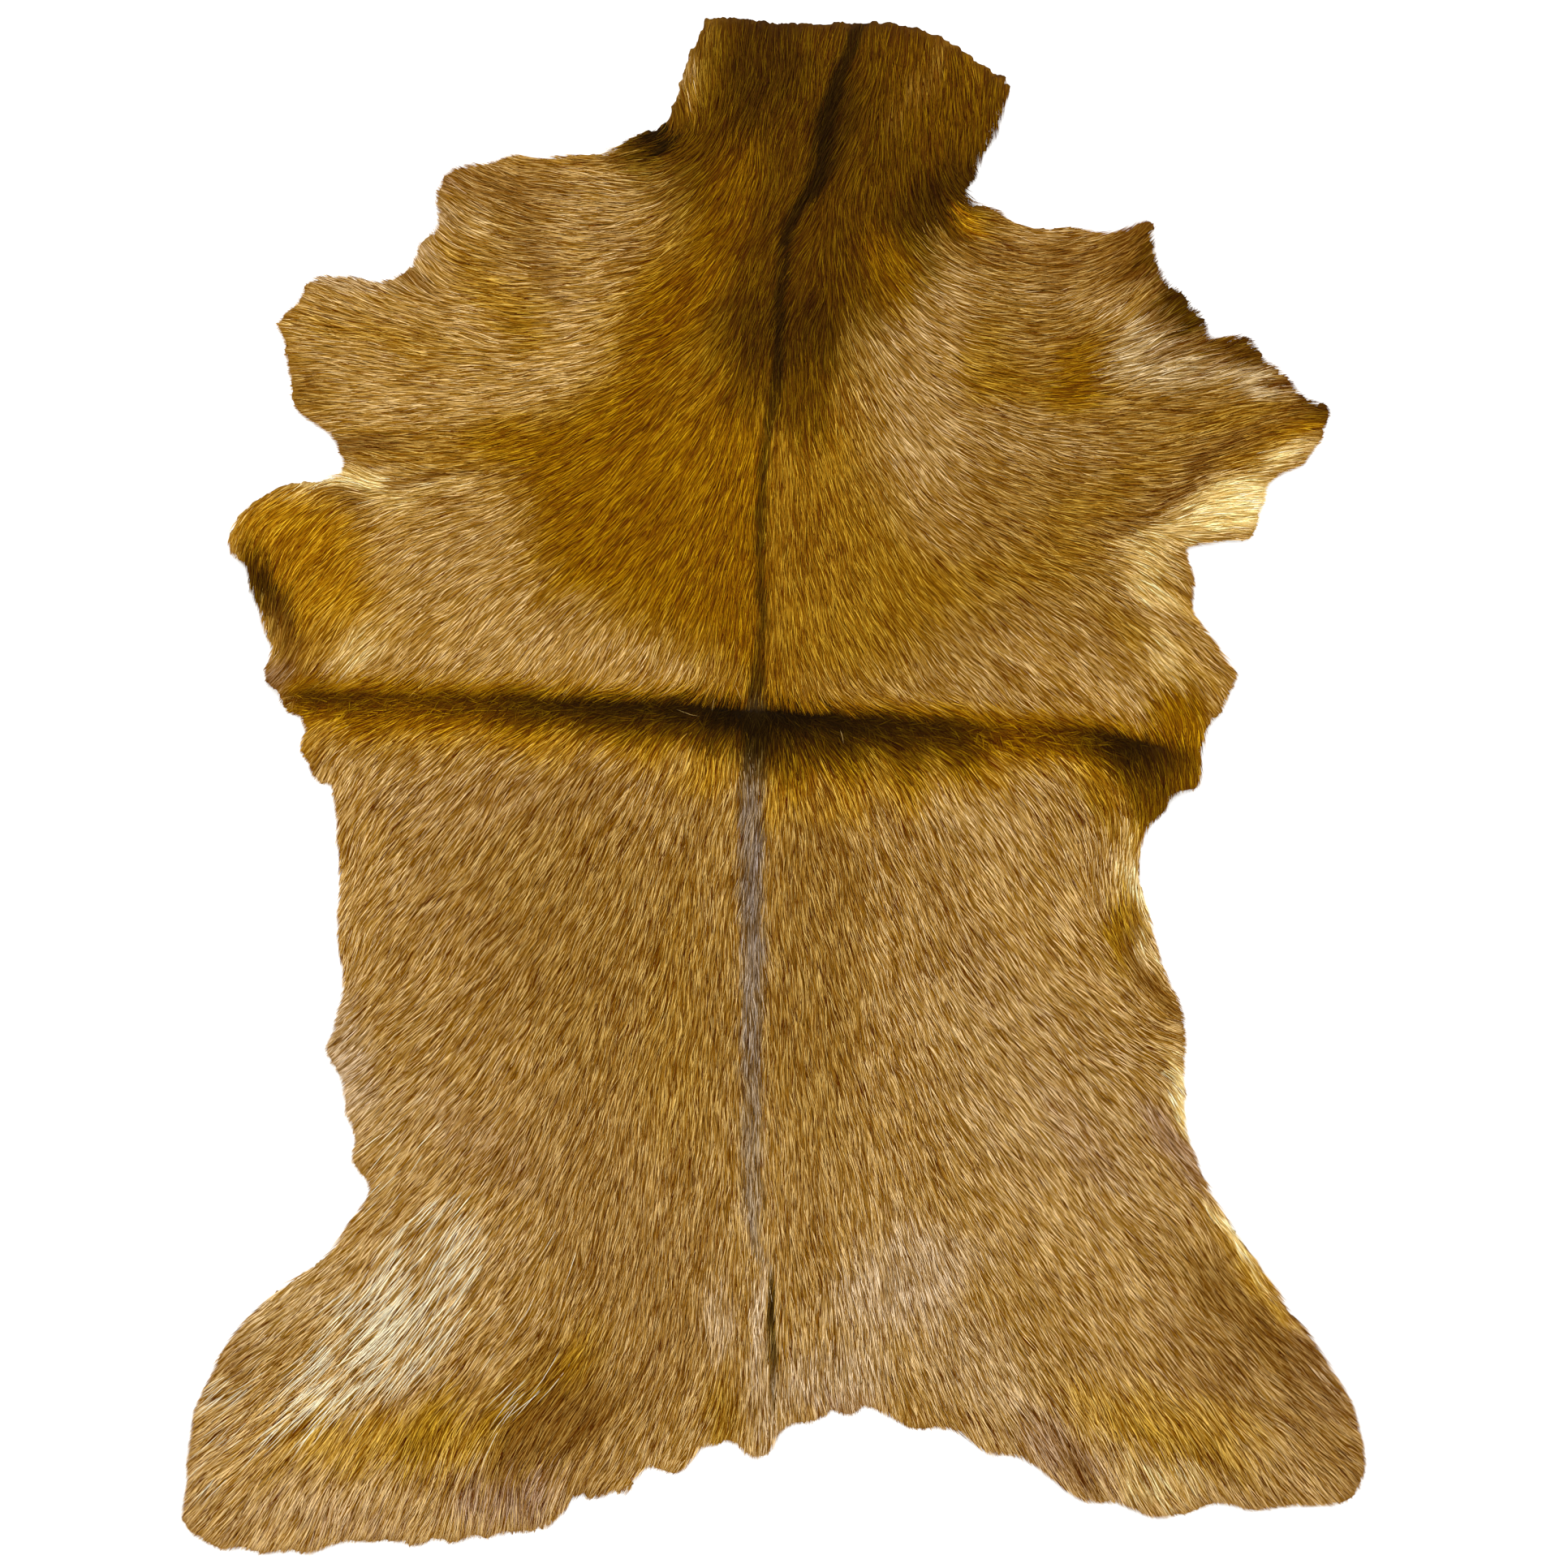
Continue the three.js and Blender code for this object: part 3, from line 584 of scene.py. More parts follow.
# Smaller marks, each a soft oval of half length and half width, turned from +X.
mark_columns = ("colour", "x", "y", "turn", "long", "wide", "strength")
marks = {
    "neck": [
        ("dark brown", -6, 444, 84, 44, 32, 0.75), ("dark brown", 36, 402, 76, 48, 15, 0.9),
        ("dark brown", 112, 369, 36, 50, 20, 0.9), ("dark brown", 98, 350, 60, 26, 12, 0.6),
        ("dark brown", -76, 394, 10, 26, 13, 0.8), ("black brown", -69, 396, 0, 14, 10, 0.95),
        ("ochre brown", -32, 350, 74, 58, 24, 0.55), ("ochre brown", -54, 296, 60, 40, 18, 0.6),
        ("ochre brown", 104, 424, -70, 52, 34, 0.25), ("ochre brown", 70, 318, -58, 34, 20, 0.6),
        ("dark brown", -14, 282, 20, 50, 22, 0.45), ("dark brown", 26, 276, 70, 34, 18, 0.6),
        ("dusk", 97, 441, 60, 32, 9, 0.5), ("dusk", 78, 416, 50, 24, 8, 0.35),
        ("ochre", 120, 451, -38, 44, 5, 0.7), ("sand", -56, 432, 68, 17, 5, 0.85),
        ("gold", -47, 423, 70, 14, 6, 0.6), ("orange", 119, 347, -14, 15, 8, 0.9),
        ("ochre", -50, 250, 60, 46, 26, 0.6), ("neck brown", 20, 232, 80, 34, 20, 0.6)],
    "left shoulder": [
        # The narrow dusk band at (-151, 348) is painted shade along the left shoulder fold.
        ("dusk", -166, 369, -4, 46, 17, 0.75), ("dusk", -151, 348, 84, 38, 8, 0.95),
        ("sand", -102, 350, -6, 38, 28, 0.3), ("sand", -92, 322, 10, 28, 14, 0.2),
        ("dusk", -136, 318, -52, 32, 9, 0.8), ("dusk", -94, 332, -30, 20, 12, 0.6),
        ("dull ochre", -170, 326, 70, 34, 16, 0.6), ("gold", -166, 296, -41, 48, 15, 0.95),
        ("ochre brown", -142, 304, -65, 22, 9, 0.3), ("ochre", -152, 284, 80, 22, 10, 0.6),
        ("gold", -186, 316, -50, 30, 10, 0.5), ("grey sand", -216, 338, 60, 30, 10, 0.75),
        ("gold", -258, 282, -12, 44, 8, 0.7), ("gold", -226, 266, -34, 30, 8, 0.7),
        ("ochre", -196, 268, -24, 36, 6, 0.5), ("grey sand", -256, 312, -8, 44, 8, 0.7),
        ("dusk", -218, 306, -40, 26, 4, 0.8), ("dusk", -232, 316, -34, 26, 4, 0.5),
        ("gold", -300, 276, -60, 16, 7, 0.7), ("ochre", -284, 246, 84, 20, 13, 0.6),
        ("dusk", -284, 246, 84, 18, 10, 0.6), ("brown", -254, 210, -12, 26, 6, 0.7),
        ("dusk", -232, 209, -4, 48, 6, 0.4), ("ochre brown", -160, 208, -16, 36, 18, 0.6),
        ("lilac", -296, 300, 50, 12, 4, 0.6), ("lilac", -204, 372, 60, 12, 5, 0.6)],
    "left foreleg": [
        ("cream", -256, 189, -20, 26, 6, 0.65), ("cream", -238, 176, -42, 24, 6, 0.5),
        ("cream", -286, 189, 14, 26, 3.5, 0.7), ("butter", -216, 182, 8, 44, 7, 0.5),
        # The thin brown lines at (-262, 180) and (-206, 190) are painted shade in the left armpit and elbow
        # folds.
        ("brown", -262, 180, -44, 18, 3, 0.8), ("brown", -206, 190, 12, 40, 2.5, 0.6),
        ("butter", -332, 164, 62, 18, 4, 0.7), ("ochre brown", -258, 142, -60, 40, 14, 0.12),
        # The dark brown and near-black ovals at (-310, 118) and (-305, 112) are painted shade where the
        # foreleg's rim rolls up.
        ("ochre brown", -286, 166, 20, 26, 9, 0.2), ("dark brown", -310, 118, -64, 38, 13, 0.9),
        ("black brown", -305, 112, -66, 24, 7, 0.4), ("brown", -298, 94, -60, 30, 12, 0.7),
        ("gold", -276, 92, 60, 22, 12, 0.7), ("butter", -254, 84, 50, 34, 17, 0.6),
        ("lilac", -304, 68, 40, 18, 10, 0.8), ("brown", -304, 66, 40, 14, 6, 0.5),
        ("dusk", -292, 62, 20, 18, 8, 0.6), ("orange", -288, 146, 40, 30, 16, 0.5),
        ("sand", -190, 140, 30, 60, 20, 0.3), ("sand", -150, 96, 24, 70, 14, 0.3)],
    "right shoulder": [
        ("dusk", 160, 328, -4, 56, 20, 0.6), ("dusk", 190, 316, 6, 40, 14, 0.5),
        ("sand", 172, 338, -2, 40, 8, 0.35), ("sand", 176, 300, 0, 44, 8, 0.4),
        ("ochre", 148, 244, -10, 34, 12, 0.6), ("ochre", 130, 258, 70, 34, 17, 0.6),
        ("pale sand", 236, 272, 22, 48, 24, 0.75), ("ochre brown", 191, 257, 78, 28, 21, 0.7),
        ("ochre brown", 182, 240, 40, 24, 12, 0.4), ("pale sand", 222, 300, 40, 26, 12, 0.4),
        ("gold", 220, 290, 60, 16, 7, 0.7), ("pale sand", 262, 254, 10, 40, 12, 0.7),
        ("sand", 150, 214, -8, 70, 22, 0.35), ("brown", 242, 297, -52, 42, 18, 0.75),
        ("dark brown", 252, 300, -52, 42, 16, 0.85), ("brown", 224, 330, 66, 34, 17, 1),
        ("dark brown", 231, 330, 70, 18, 6, 0.7), ("brown", 250, 268, 20, 26, 5, 0.6),
        ("brown", 289, 266, -10, 28, 20, 1), ("dark brown", 293, 266, 0, 24, 12, 0.55),
        ("dusk", 270, 258, 24, 30, 5, 0.5), ("pale sand", 302, 247, -14, 28, 9, 0.85),
        ("brown", 320, 249, -38, 30, 8, 0.85), ("brown", 332, 236, -35, 26, 17, 1),
        ("dark brown", 336, 236, -35, 20, 11, 0.5), ("ochre", 284, 228, 14, 44, 10, 0.5),
        ("orange", 318, 221, 20, 28, 9, 0.95), ("gold", 298, 206, 20, 28, 10, 0.85),
        ("butter", 318, 204, 18, 24, 7, 0.95), ("cream", 322, 208, 18, 16, 4, 0.6),
        # The brown ovals from (296, 216) to (240, 176) are painted shade on the tail side of the right
        # armpit fold.
        ("brown", 296, 216, 20, 36, 8, 0.6), ("brown", 264, 197, 44, 30, 9, 0.85),
        ("brown", 240, 176, 42, 30, 9, 0.5), ("dusk", 209, 157, 14, 30, 9, 0.7),
        ("ochre", 206, 180, 30, 60, 12, 0.4)],
    "right foreleg and belly": [
        ("cream", 284, 173, 10, 44, 22, 1), ("cream", 272, 164, 10, 46, 11, 1),
        # The thin gold lines at (258, 172) and (284, 164) are painted shade in fine folds of the cream
        # armpit.
        ("butter", 236, 149, 20, 34, 12, 0.95), ("gold", 258, 172, 24, 30, 2, 0.6),
        ("gold", 284, 164, 8, 28, 1.5, 0.6), ("butter", 232, 144, 0, 22, 10, 0.9),
        ("butter", 240, 122, -50, 30, 10, 0.95), ("cream", 236, 116, -50, 16, 5, 0.6),
        ("gold", 256, 108, -52, 26, 7, 0.8), ("brown", 252, 116, -54, 12, 3, 0.6),
        ("ochre", 218, 94, -44, 30, 8, 0.5), ("butter", 230, 118, -50, 24, 10, 0.9),
        ("butter", 246, 84, -38, 26, 6, 0.85), ("dusk", 206, 92, -44, 20, 8, 0.5),
        ("gold", 228, 76, -44, 26, 6, 0.4), ("butter", 250, 70, -40, 30, 17, 0.85),
        ("pale tan", 186, 60, -34, 60, 20, 0.7), ("gold", 262, 70, -50, 30, 8, 0.6),
        ("lilac", 262, 56, -34, 10, 5, 0.6), ("ochre brown", 250, 36, 86, 34, 22, 0.9),
        ("ochre brown", 238, 8, 70, 26, 22, 0.9), ("ochre brown", 206, -8, -66, 34, 12, 0.6)],
    "flanks": [
        ("pale tan", -256, -30, 92, 92, 26, 0.5), ("dull ochre", -104, -110, -60, 150, 76, 0.75),
        ("dull ochre", 24, -110, 90, 160, 40, 0.85), ("dull ochre", -44, -90, 88, 170, 34, 0.5),
        ("pale tan", -190, -6, 10, 70, 24, 0.5), ("grey sand", -260, -172, 96, 50, 20, 0.9),
        ("sand", -240, -206, 40, 46, 20, 0.5), ("dusk", -176, -92, -50, 70, 26, 0.25),
        ("pale tan", 150, -60, -60, 120, 50, 0.55), ("sand", 164, -190, -52, 130, 70, 0.6),
        # The narrow pale sand, cream and butter bands at x 219 to 229 and the cream band at (253, -192) are
        # pale hair on the rim, brightened by painted light where the rim turns and catches it.
        ("sand", 120, -24, -20, 50, 18, 0.4), ("pale sand", 225, -64, 96, 52, 9, 0.65),
        ("cream", 229, -66, 96, 50, 4, 0.5), ("butter", 219, -52, 92, 40, 9, 0.7),
        ("cream", 253, -192, 98, 32, 5, 0.95), ("ochre", 216, -90, 80, 32, 13, 0.95),
        ("brown", 222, -98, 76, 20, 4, 0.5), ("brown", 236, -124, -60, 34, 5, 0.7),
        ("lilac", 246, -220, -64, 40, 10, 0.75), ("dusk", 110, -74, -66, 90, 20, 0.25),
        ("lilac", -180, -216, -40, 60, 22, 0.25), ("gold", -60, -150, 88, 110, 20, 0.25),
        ("lilac", 190, -216, -50, 50, 20, 0.3)],
    "left thigh": [
        ("dusk", -92, -270, -60, 130, 60, 0.45), ("dusk", -170, -8, 4, 90, 18, 0.35),
        ("sand", -232, -322, 56, 88, 48, 0.3), ("pale sand", -306, -324, 46, 54, 22, 0.35),
        ("dusk", -330, -350, 60, 34, 12, 0.55), ("gold", -232, -402, 2, 80, 20, 1),
        ("gold", -300, -402, 30, 50, 16, 0.8), ("ochre", -212, -392, 50, 34, 18, 0.8),
        ("pale tan", -318, -404, 44, 50, 20, 0.5), ("ochre brown", -146, -372, 40, 60, 22, 0.6),
        ("brown", -134, -398, 34, 60, 30, 0.8), ("dusk", -150, -362, 40, 44, 12, 0.6),
        ("lilac", -166, -438, 4, 40, 15, 0.9), ("sand", -290, -446, 6, 70, 14, 0.5),
        ("lilac", -252, -452, 0, 50, 9, 0.45), ("dusk", -108, -428, 40, 22, 10, 0.5),
        ("sand", -176, -298, 40, 40, 26, 0.3)],
    "rump": [
        ("grey sand", -36, -328, 86, 28, 13, 0.6), ("dusk", -66, -360, 70, 40, 20, 0.4),
        ("ochre", -30, -384, 88, 28, 12, 0.6), ("grey sand", 30, -368, 8, 60, 24, 0.75),
        ("grey sand", 80, -306, 30, 60, 36, 0.85), ("grey sand", 120, -352, -50, 70, 30, 0.45),
        ("grey sand", -6, -400, 90, 24, 10, 0.6), ("dusk", 20, -270, 88, 50, 22, 0.3),
        ("grey sand", -6, -330, 88, 48, 8, 0.9), ("lilac", 42, -382, 0, 34, 8, 0.5)],
    "right thigh": [
        ("brown", 296, -334, -52, 80, 17, 0.6), ("dusk", 270, -356, -50, 60, 26, 0.6),
        ("gold", 240, -390, -12, 76, 22, 0.8), ("ochre", 256, -408, -20, 60, 12, 0.4),
        ("gold", 296, -306, -56, 50, 8, 0.9), ("cream", 284, -282, -60, 42, 3.5, 0.8),
        ("dusk", 338, -396, -66, 60, 20, 0.6), ("butter", 238, -430, 2, 40, 10, 0.7),
        ("lilac", 180, -412, -34, 40, 16, 0.8), ("dusk", 184, -418, -40, 24, 8, 0.3),
        ("brown", 186, -416, -44, 28, 7, 0.5), ("lilac", 334, -358, -54, 36, 14, 0.9),
        ("dusk", 332, -362, -54, 34, 12, 0.8), ("brown", 334, -360, -54, 32, 11, 0.4),
        ("brown", 330, -340, -56, 34, 4, 0.8), ("sand", 344, -366, -40, 10, 5, 0.7),
        ("pale tan", 196, -296, -50, 90, 40, 0.4)],
}
mark_softness = 0.6
mark_growth = 1.15
# How far the marks' edges stray and over what size, in millimetres: along single hairs and locks, and
# to every side by a broad and a small cloud.
stray = {"hair": (6, 1.6), "lock": (5, 5), "broad": (5, 26), "small": (2.5, 8)}
# The dark line down the back: half its width and how much of its colour shows.
back_stripe = [
    {"x": 58, "y": 480, "half": 4, "dark": 0.5}, {"x": 48, "y": 454, "half": 4.5, "dark": 0.8},
    {"x": 37, "y": 426, "half": 5.5, "dark": 0.9}, {"x": 33, "y": 406, "half": 6, "dark": 0.9},
    {"x": 30, "y": 388, "half": 6, "dark": 0.9}, {"x": 28, "y": 372, "half": 6, "dark": 0.9},
    {"x": 20, "y": 361, "half": 5, "dark": 0.9}, {"x": 12, "y": 350, "half": 4.5, "dark": 0.95},
    {"x": 8, "y": 334, "half": 4.5, "dark": 0.9}, {"x": 6.5, "y": 312, "half": 3.5, "dark": 0.85},
    {"x": 5, "y": 295, "half": 4, "dark": 0.9}, {"x": 4, "y": 270, "half": 3.5, "dark": 0.8},
    {"x": 2.5, "y": 245, "half": 3, "dark": 0.7}, {"x": -4, "y": 219, "half": 3, "dark": 0.65},
    {"x": -7, "y": 180, "half": 3, "dark": 0.6}, {"x": -8.5, "y": 144, "half": 3, "dark": 0.6},
    {"x": -7, "y": 106, "half": 3, "dark": 0.55}, {"x": -8, "y": 79, "half": 3, "dark": 0.4},
    {"x": -11, "y": 52, "half": 6, "dark": 1}, {"x": -12, "y": 30, "half": 8, "dark": 1},
    {"x": -12, "y": 12, "half": 8, "dark": 0.95}, {"x": -13, "y": -10, "half": 6.5, "dark": 0.85},
    {"x": -13, "y": -66, "half": 7, "dark": 0.85}, {"x": -13, "y": -166, "half": 6.5, "dark": 0.65},
    {"x": -13, "y": -256, "half": 6, "dark": 0.55}, {"x": -11, "y": -282, "half": 3, "dark": 0.5},
    {"x": -1, "y": -300, "half": 1.2, "dark": 0.6}, {"x": 0, "y": -330, "half": 2.6, "dark": 1},
    {"x": 0, "y": -350, "half": 2.4, "dark": 0.9}, {"x": 0, "y": -380, "half": 1.4, "dark": 0.4},
    {"x": -1, "y": -396, "half": 1.2, "dark": 0}]
# Its edge: how far it sways in millimetres, and how far it frays and reaches as shares of its half width.
stripe_edge = {"sway": 1.2, "fray": 0.35, "reach": 1.5, "uneven": 0.3}
# It is nearly black on the neck, at the crease, where painted shade of the fold deepens its dark hair, and
# at the tail, and grey elsewhere.
stripe_black = {"share": 0.8, "neck": 40, "crease": 30, "crease_reach": 50, "tail": -290, "soft": 20}
# The crease's dark band is painted shade of the fold: how dark it is at its line, how far that reaches
# tailwards, and how far the ochre does.
crease = [
    {"x": -304, "y": 56, "dark": 0, "reach": 12, "fringe": 34},
    {"x": -286, "y": 57, "dark": 0.45, "reach": 18, "fringe": 52},
    {"x": -261, "y": 56, "dark": 0.38, "reach": 15, "fringe": 50},
    {"x": -226, "y": 55.5, "dark": 0.28, "reach": 14, "fringe": 44},
    {"x": -176, "y": 54, "dark": 0.42, "reach": 20, "fringe": 46},
    {"x": -126, "y": 53, "dark": 0.72, "reach": 28, "fringe": 46},
    {"x": -76, "y": 51, "dark": 0.8, "reach": 31, "fringe": 52},
    {"x": -46, "y": 50, "dark": 0.88, "reach": 34, "fringe": 60},
    {"x": -24, "y": 48, "dark": 1.1, "reach": 46, "fringe": 70},
    {"x": -4, "y": 47, "dark": 1.15, "reach": 54, "fringe": 76},
    {"x": 24, "y": 44, "dark": 0.95, "reach": 40, "fringe": 72},
    {"x": 74, "y": 41, "dark": 0.72, "reach": 42, "fringe": 68},
    {"x": 114, "y": 38, "dark": 0.58, "reach": 38, "fringe": 60},
    {"x": 149, "y": 36, "dark": 0.05, "reach": 18, "fringe": 48},
    {"x": 184, "y": 34, "dark": 0.34, "reach": 20, "fringe": 44},
    {"x": 206, "y": 31, "dark": 0.7, "reach": 34, "fringe": 60},
    {"x": 222, "y": 28, "dark": 0.85, "reach": 52, "fringe": 76},
    {"x": 240, "y": 24, "dark": 0.6, "reach": 56, "fringe": 76},
    {"x": 256, "y": 22, "dark": 0.35, "reach": 40, "fringe": 66},
    {"x": 270, "y": 22, "dark": 0, "reach": 30, "fringe": 50}]
# How far the crease's painted shade and its ochre fringe reach above the line, how much deeper its core is,
# how it fades at its ends, and the orange and ochre-brown fringes of that painted shade.
crease_above = {"ochre": 16, "dark": 6}
crease_core = 1.25
crease_ends = 14
crease_fringes = {
    "orange": {"share": 0.85, "reach": 1, "edge": 0.6},
    "ochre brown": {"share": 0.9, "reach": 0.65, "edge": 0.4}}
hair_length = {"neck": 13, "back": 12, "thighs": 19}
neck_line = {"from": 150, "to": 350}
thigh_line = {"from": -330, "to": -410, "inner": 60, "outer": 140}
# How much one hair differs from the next in length, rise and width, and one tuft from the next in length.
varied = {"tuft_length": (0.8, 1.2), "length": (0.85, 1.15), "rise": (0.75, 1.1), "width": (0.75, 1.3)}
# How far hairs turn from the lay, in radians, and how much a tuft's hairs draw together.
turning = {"tuft": 0.07, "hair": 0.06, "cloud": 0.14, "gather": 0.15, "thigh_gather": 0.6}
hair_roll = 0.28
least_depth = 1.2
full_rise_length = 9
# The hair of the upper half ends at the crease, and is short and untidy along it.
crease_mess = {"line": 3, "reach": 12, "from": -300, "to": 225, "turn": 0.5, "shorter": 0.35}
crease_stop = {"from": -300, "to": 240, "past": 2.5, "least": 3}
tip_overhang = {"even": 0.9, "tufts": 1.1, "hairs": 0.35, "least": -4, "most": 2.6}
root_depth = 0.05
root_margin = 0.1
painted_root_shade = 0.85
root_scatter = 0.6
rise_speed = 1.3
trim = {"rounds": 4, "over": 1.3, "least": 2}
streak_evening = 2.6
# A hair's shade is 0 where it has the coat's own colour, above 0 where it is lighter. Lighter single hairs
# stand partly for painted glints of light on the hair, darker ones partly for painted shade in the gaps
# between hairs.
lightest_hair = 0.4
darkest_hair = -0.6
odd_hair = {"dark": -0.3, "light": 0.2}
tint_clouds = {"small": {"by": 0.02, "size": 14}, "broad": {"by": 0.04, "size": 34}}
contrast = {"thighs": 1.4, "shoulders": 0.76, "shoulder_line": 20, "soft": 40}
tail_paling = {"by": 0.04, "line": -150, "soft": 60}
lightest_red = 170
# A hair shows the coat's colour at one place between these shares of its length.
tint_place = (0.2, 0.95)
# How much green and blue change with red in a lighter or darker hair, where the coat has no blue and
# where it has as much as this or more.
paling = {"full_blue": 50, "green": (1.03, 1.11), "blue": (0.35, 1.3)}
# Each hair darkens towards its root: painted shade where it goes down among the other hairs.
hair_fade = {"at": (0, 0.4, 1), "tone": (0.85, 1, 1.02)}
worn_tint = (0.84, 0.79, 0.72)


def columns(table):
    """A table's rows as one array for each column name."""
    return {name: np.array([row[name] for row in table], float) for name in table[0]}


def lay_chart():
    """The way the hair points over every place of the chart, as unit vectors."""
    readings = np.array([reading for part in lay.values() for reading in part], float)
    ways = np.radians(readings[:, 2])
    x, y = chart_place
    total = np.zeros((*x.shape, 2))
    for (rx, ry, _), way in zip(readings, ways):
        weight = ((x - rx) ** 2 + (y - ry) ** 2 + lay_softness ** 2) ** -1.75
        total += weight[..., None] * np.array([math.cos(way), math.sin(way)])
    total = blur(total / np.linalg.norm(total, axis=2, keepdims=True), 2)
    return total / np.linalg.norm(total, axis=2, keepdims=True)


def along_crease(x, name):
    """A column of the crease's table at each x."""
    table = columns(crease)
    return np.interp(x, table["x"], table[name])


def stripe_share(x, y, way):
    """How much of the back stripe's colour shows at each place."""
    table = columns(back_stripe[::-1])
    middle, half, dark = (np.interp(y, table["y"], table[name]) for name in ("x", "half", "dark"))
    sway = stripe_edge["sway"] * cloud(x, y, size=9, seed=5)
    fray = stripe_edge["fray"] * half * streaks(x, y, way, size=1.3, seed=64)
    uneven = 1 + stripe_edge["uneven"] * streaks(x, y, way, size=1.3, seed=65)
    inwards = half * stripe_edge["reach"] - np.abs(x - middle + (sway + fray))
    return np.clip(dark * uneven, 0, 1) * soft_step(inwards / half)


def zone_shares():
    """How much of each broad area's colour shows over every place of the chart."""
    shares = []
    for row in zones.values():
        corners = np.array(row["corners"], float)
        far = distance_to_loop(corners, *chart_place)
        far = np.where(is_inside(corners, *chart_place), far, -far)
        shares.append((row["colour"], row["strength"] * soft_step(0.5 + far / (2 * row["soft"]))))
    return shares


def streaks(x, y, way, size, seed):
    """Noise of about -1 to 1, drawn out along the hair by adding it up at steps along the way."""
    steps = (-4.2, -2.8, -1.4, 0, 1.4, 2.8, 4.2)
    total = sum(cloud(x + way[:, 0] * k * size, y + way[:, 1] * k * size, size, seed) for k in steps)
    return total / streak_evening


def strayed(x, y, way):
    """The places moved a little, so that the edges of marks read there fray along the hair."""
    (single, single_size), (lock, lock_size), (broad, broad_size), (small, small_size) = stray.values()
    slide = single * streaks(x, y, way, single_size, seed=61)
    slide = slide + lock * streaks(x, y, way, lock_size, seed=62)
    moved = []
    for place, share, seeds in ((x, way[:, 0], (1, 2)), (y, way[:, 1], (3, 4))):
        place = place + slide * share + broad * cloud(x, y, broad_size, seeds[0])
        moved.append(place + small * cloud(x, y, small_size, seeds[1]))
    return moved


def coat_colour(x, y):
    """The coat's colour at each place, with painted shade along the crease and some folds and painted
    sheen, as 0 to 255 of red, green and blue.
    """
    way = read(lay_way, x, y)
    wx, wy = strayed(x, y, way)
    colour = np.tile(np.array(coat_colours["tan"], float), (len(x), 1))

    def colour_and_shade(name, share):
        colour[:] += share[:, None] * (np.array(coat_colours[name], float) - colour)

    for name, chart in zone_charts:
        colour_and_shade(name, read(chart, wx, wy))
    for rows in marks.values():
        for row in rows:
            mark = dict(zip(mark_columns, row))
            bigger = dict(mark, long=mark["long"] * mark_growth, wide=mark["wide"] * mark_growth)
            colour_and_shade(mark["colour"], mark["strength"] * soft_step((1 - oval(wx, wy, bigger)) / mark_softness))

    # The crease's painted shade: near black at its line, fading tailwards through ochre brown and orange
    # into the coat, and a little way above it.
    below = along_crease(x, "y") - y + 1.2 * cloud(x, y, size=12, seed=6)
    reach, fringe, dark = (along_crease(x, name) for name in ("reach", "fringe", "dark"))
    ends = [soft_step(inwards / crease_ends) for inwards in (x - crease[0]["x"], crease[-1]["x"] - x)]
    uneven = 1 + 0.25 * cloud(x, y, size=18, seed=7)
    above = ends[0] * ends[1] * soft_step(1 + below / crease_above["ochre"])
    for name, row in crease_fringes.items():
        left = row["reach"] * fringe * uneven - below
        colour_and_shade(name, row["share"] * above * soft_step(left / (row["edge"] * fringe)))
    depth = np.clip(1 - below / (reach * uneven), 0, 1)
    above = soft_step(1 + below / crease_above["dark"])
    colour_and_shade("black brown", np.clip(dark, 0, 1) * above * np.minimum(depth * crease_core, 1))

    share = stripe_share(x, y, way)
    near_crease = soft_step(1 - np.abs(y - stripe_black["crease"]) / stripe_black["crease_reach"])
    black = np.maximum(soft_step((y - stripe_black["neck"]) / stripe_black["soft"]), near_crease)
    black = np.maximum(black, soft_step((stripe_black["tail"] - y) / stripe_black["soft"]))
    colour_and_shade("black brown", share * black * stripe_black["share"])
    colour_and_shade("stripe", share * (1 - black))
    return colour


def linear(colour):
    """Display values from 0 to 255 as linear light."""
    share = np.clip(colour, 0, 255) / 255
    return np.where(share > 0.04045, ((share + 0.055) / 1.055) ** 2.4, share / 12.92)


def can_grow(x, y):
    """Whether each place lies on skin, inside the nicked rim."""
    return read(rim_distance, x, y) > rim_inset + nicks(x, y) - root_margin


def scatter(count, random):
    """About so many places, spread evenly over the hide."""
    area = float(np.count_nonzero(rim_distance > rim_inset)) * chart_step ** 2
    spacing = math.sqrt(area / count)
    across = np.arange(chart_x[0], chart_x[-1], spacing)
    along = np.arange(chart_y[0], chart_y[-1], spacing)
    x, y = (a.ravel() for a in np.meshgrid(across, along))
    x = x + random.uniform(-root_scatter, root_scatter, x.shape) * spacing
    y = y + random.uniform(-root_scatter, root_scatter, y.shape) * spacing
    kept = can_grow(x, y)
    return x[kept], y[kept]


def thigh_share(x, y):
    """0 over the back and 1 at the ends of the hind legs, where the hair is long and coarse."""
    lower = soft_step((thigh_line["from"] - y) / (thigh_line["from"] - thigh_line["to"]))
    outer = (np.abs(x) - thigh_line["inner"]) / (thigh_line["outer"] - thigh_line["inner"])
    return lower * soft_step(outer)


def natural_length(x, y):
    """How long the hair grows at each place, in millimetres."""
    neck = soft_step((y - neck_line["from"]) / (neck_line["to"] - neck_line["from"]))
    length = hair_length["back"] + (hair_length["neck"] - hair_length["back"]) * neck
    return length + (hair_length["thighs"] - length) * thigh_share(x, y)


def coat_depth(x, y):
    """How thick the coat lies at each place, in millimetres."""
    return np.clip(read(coat_top - underside, x, y) - skin_thickness, least_depth, None)


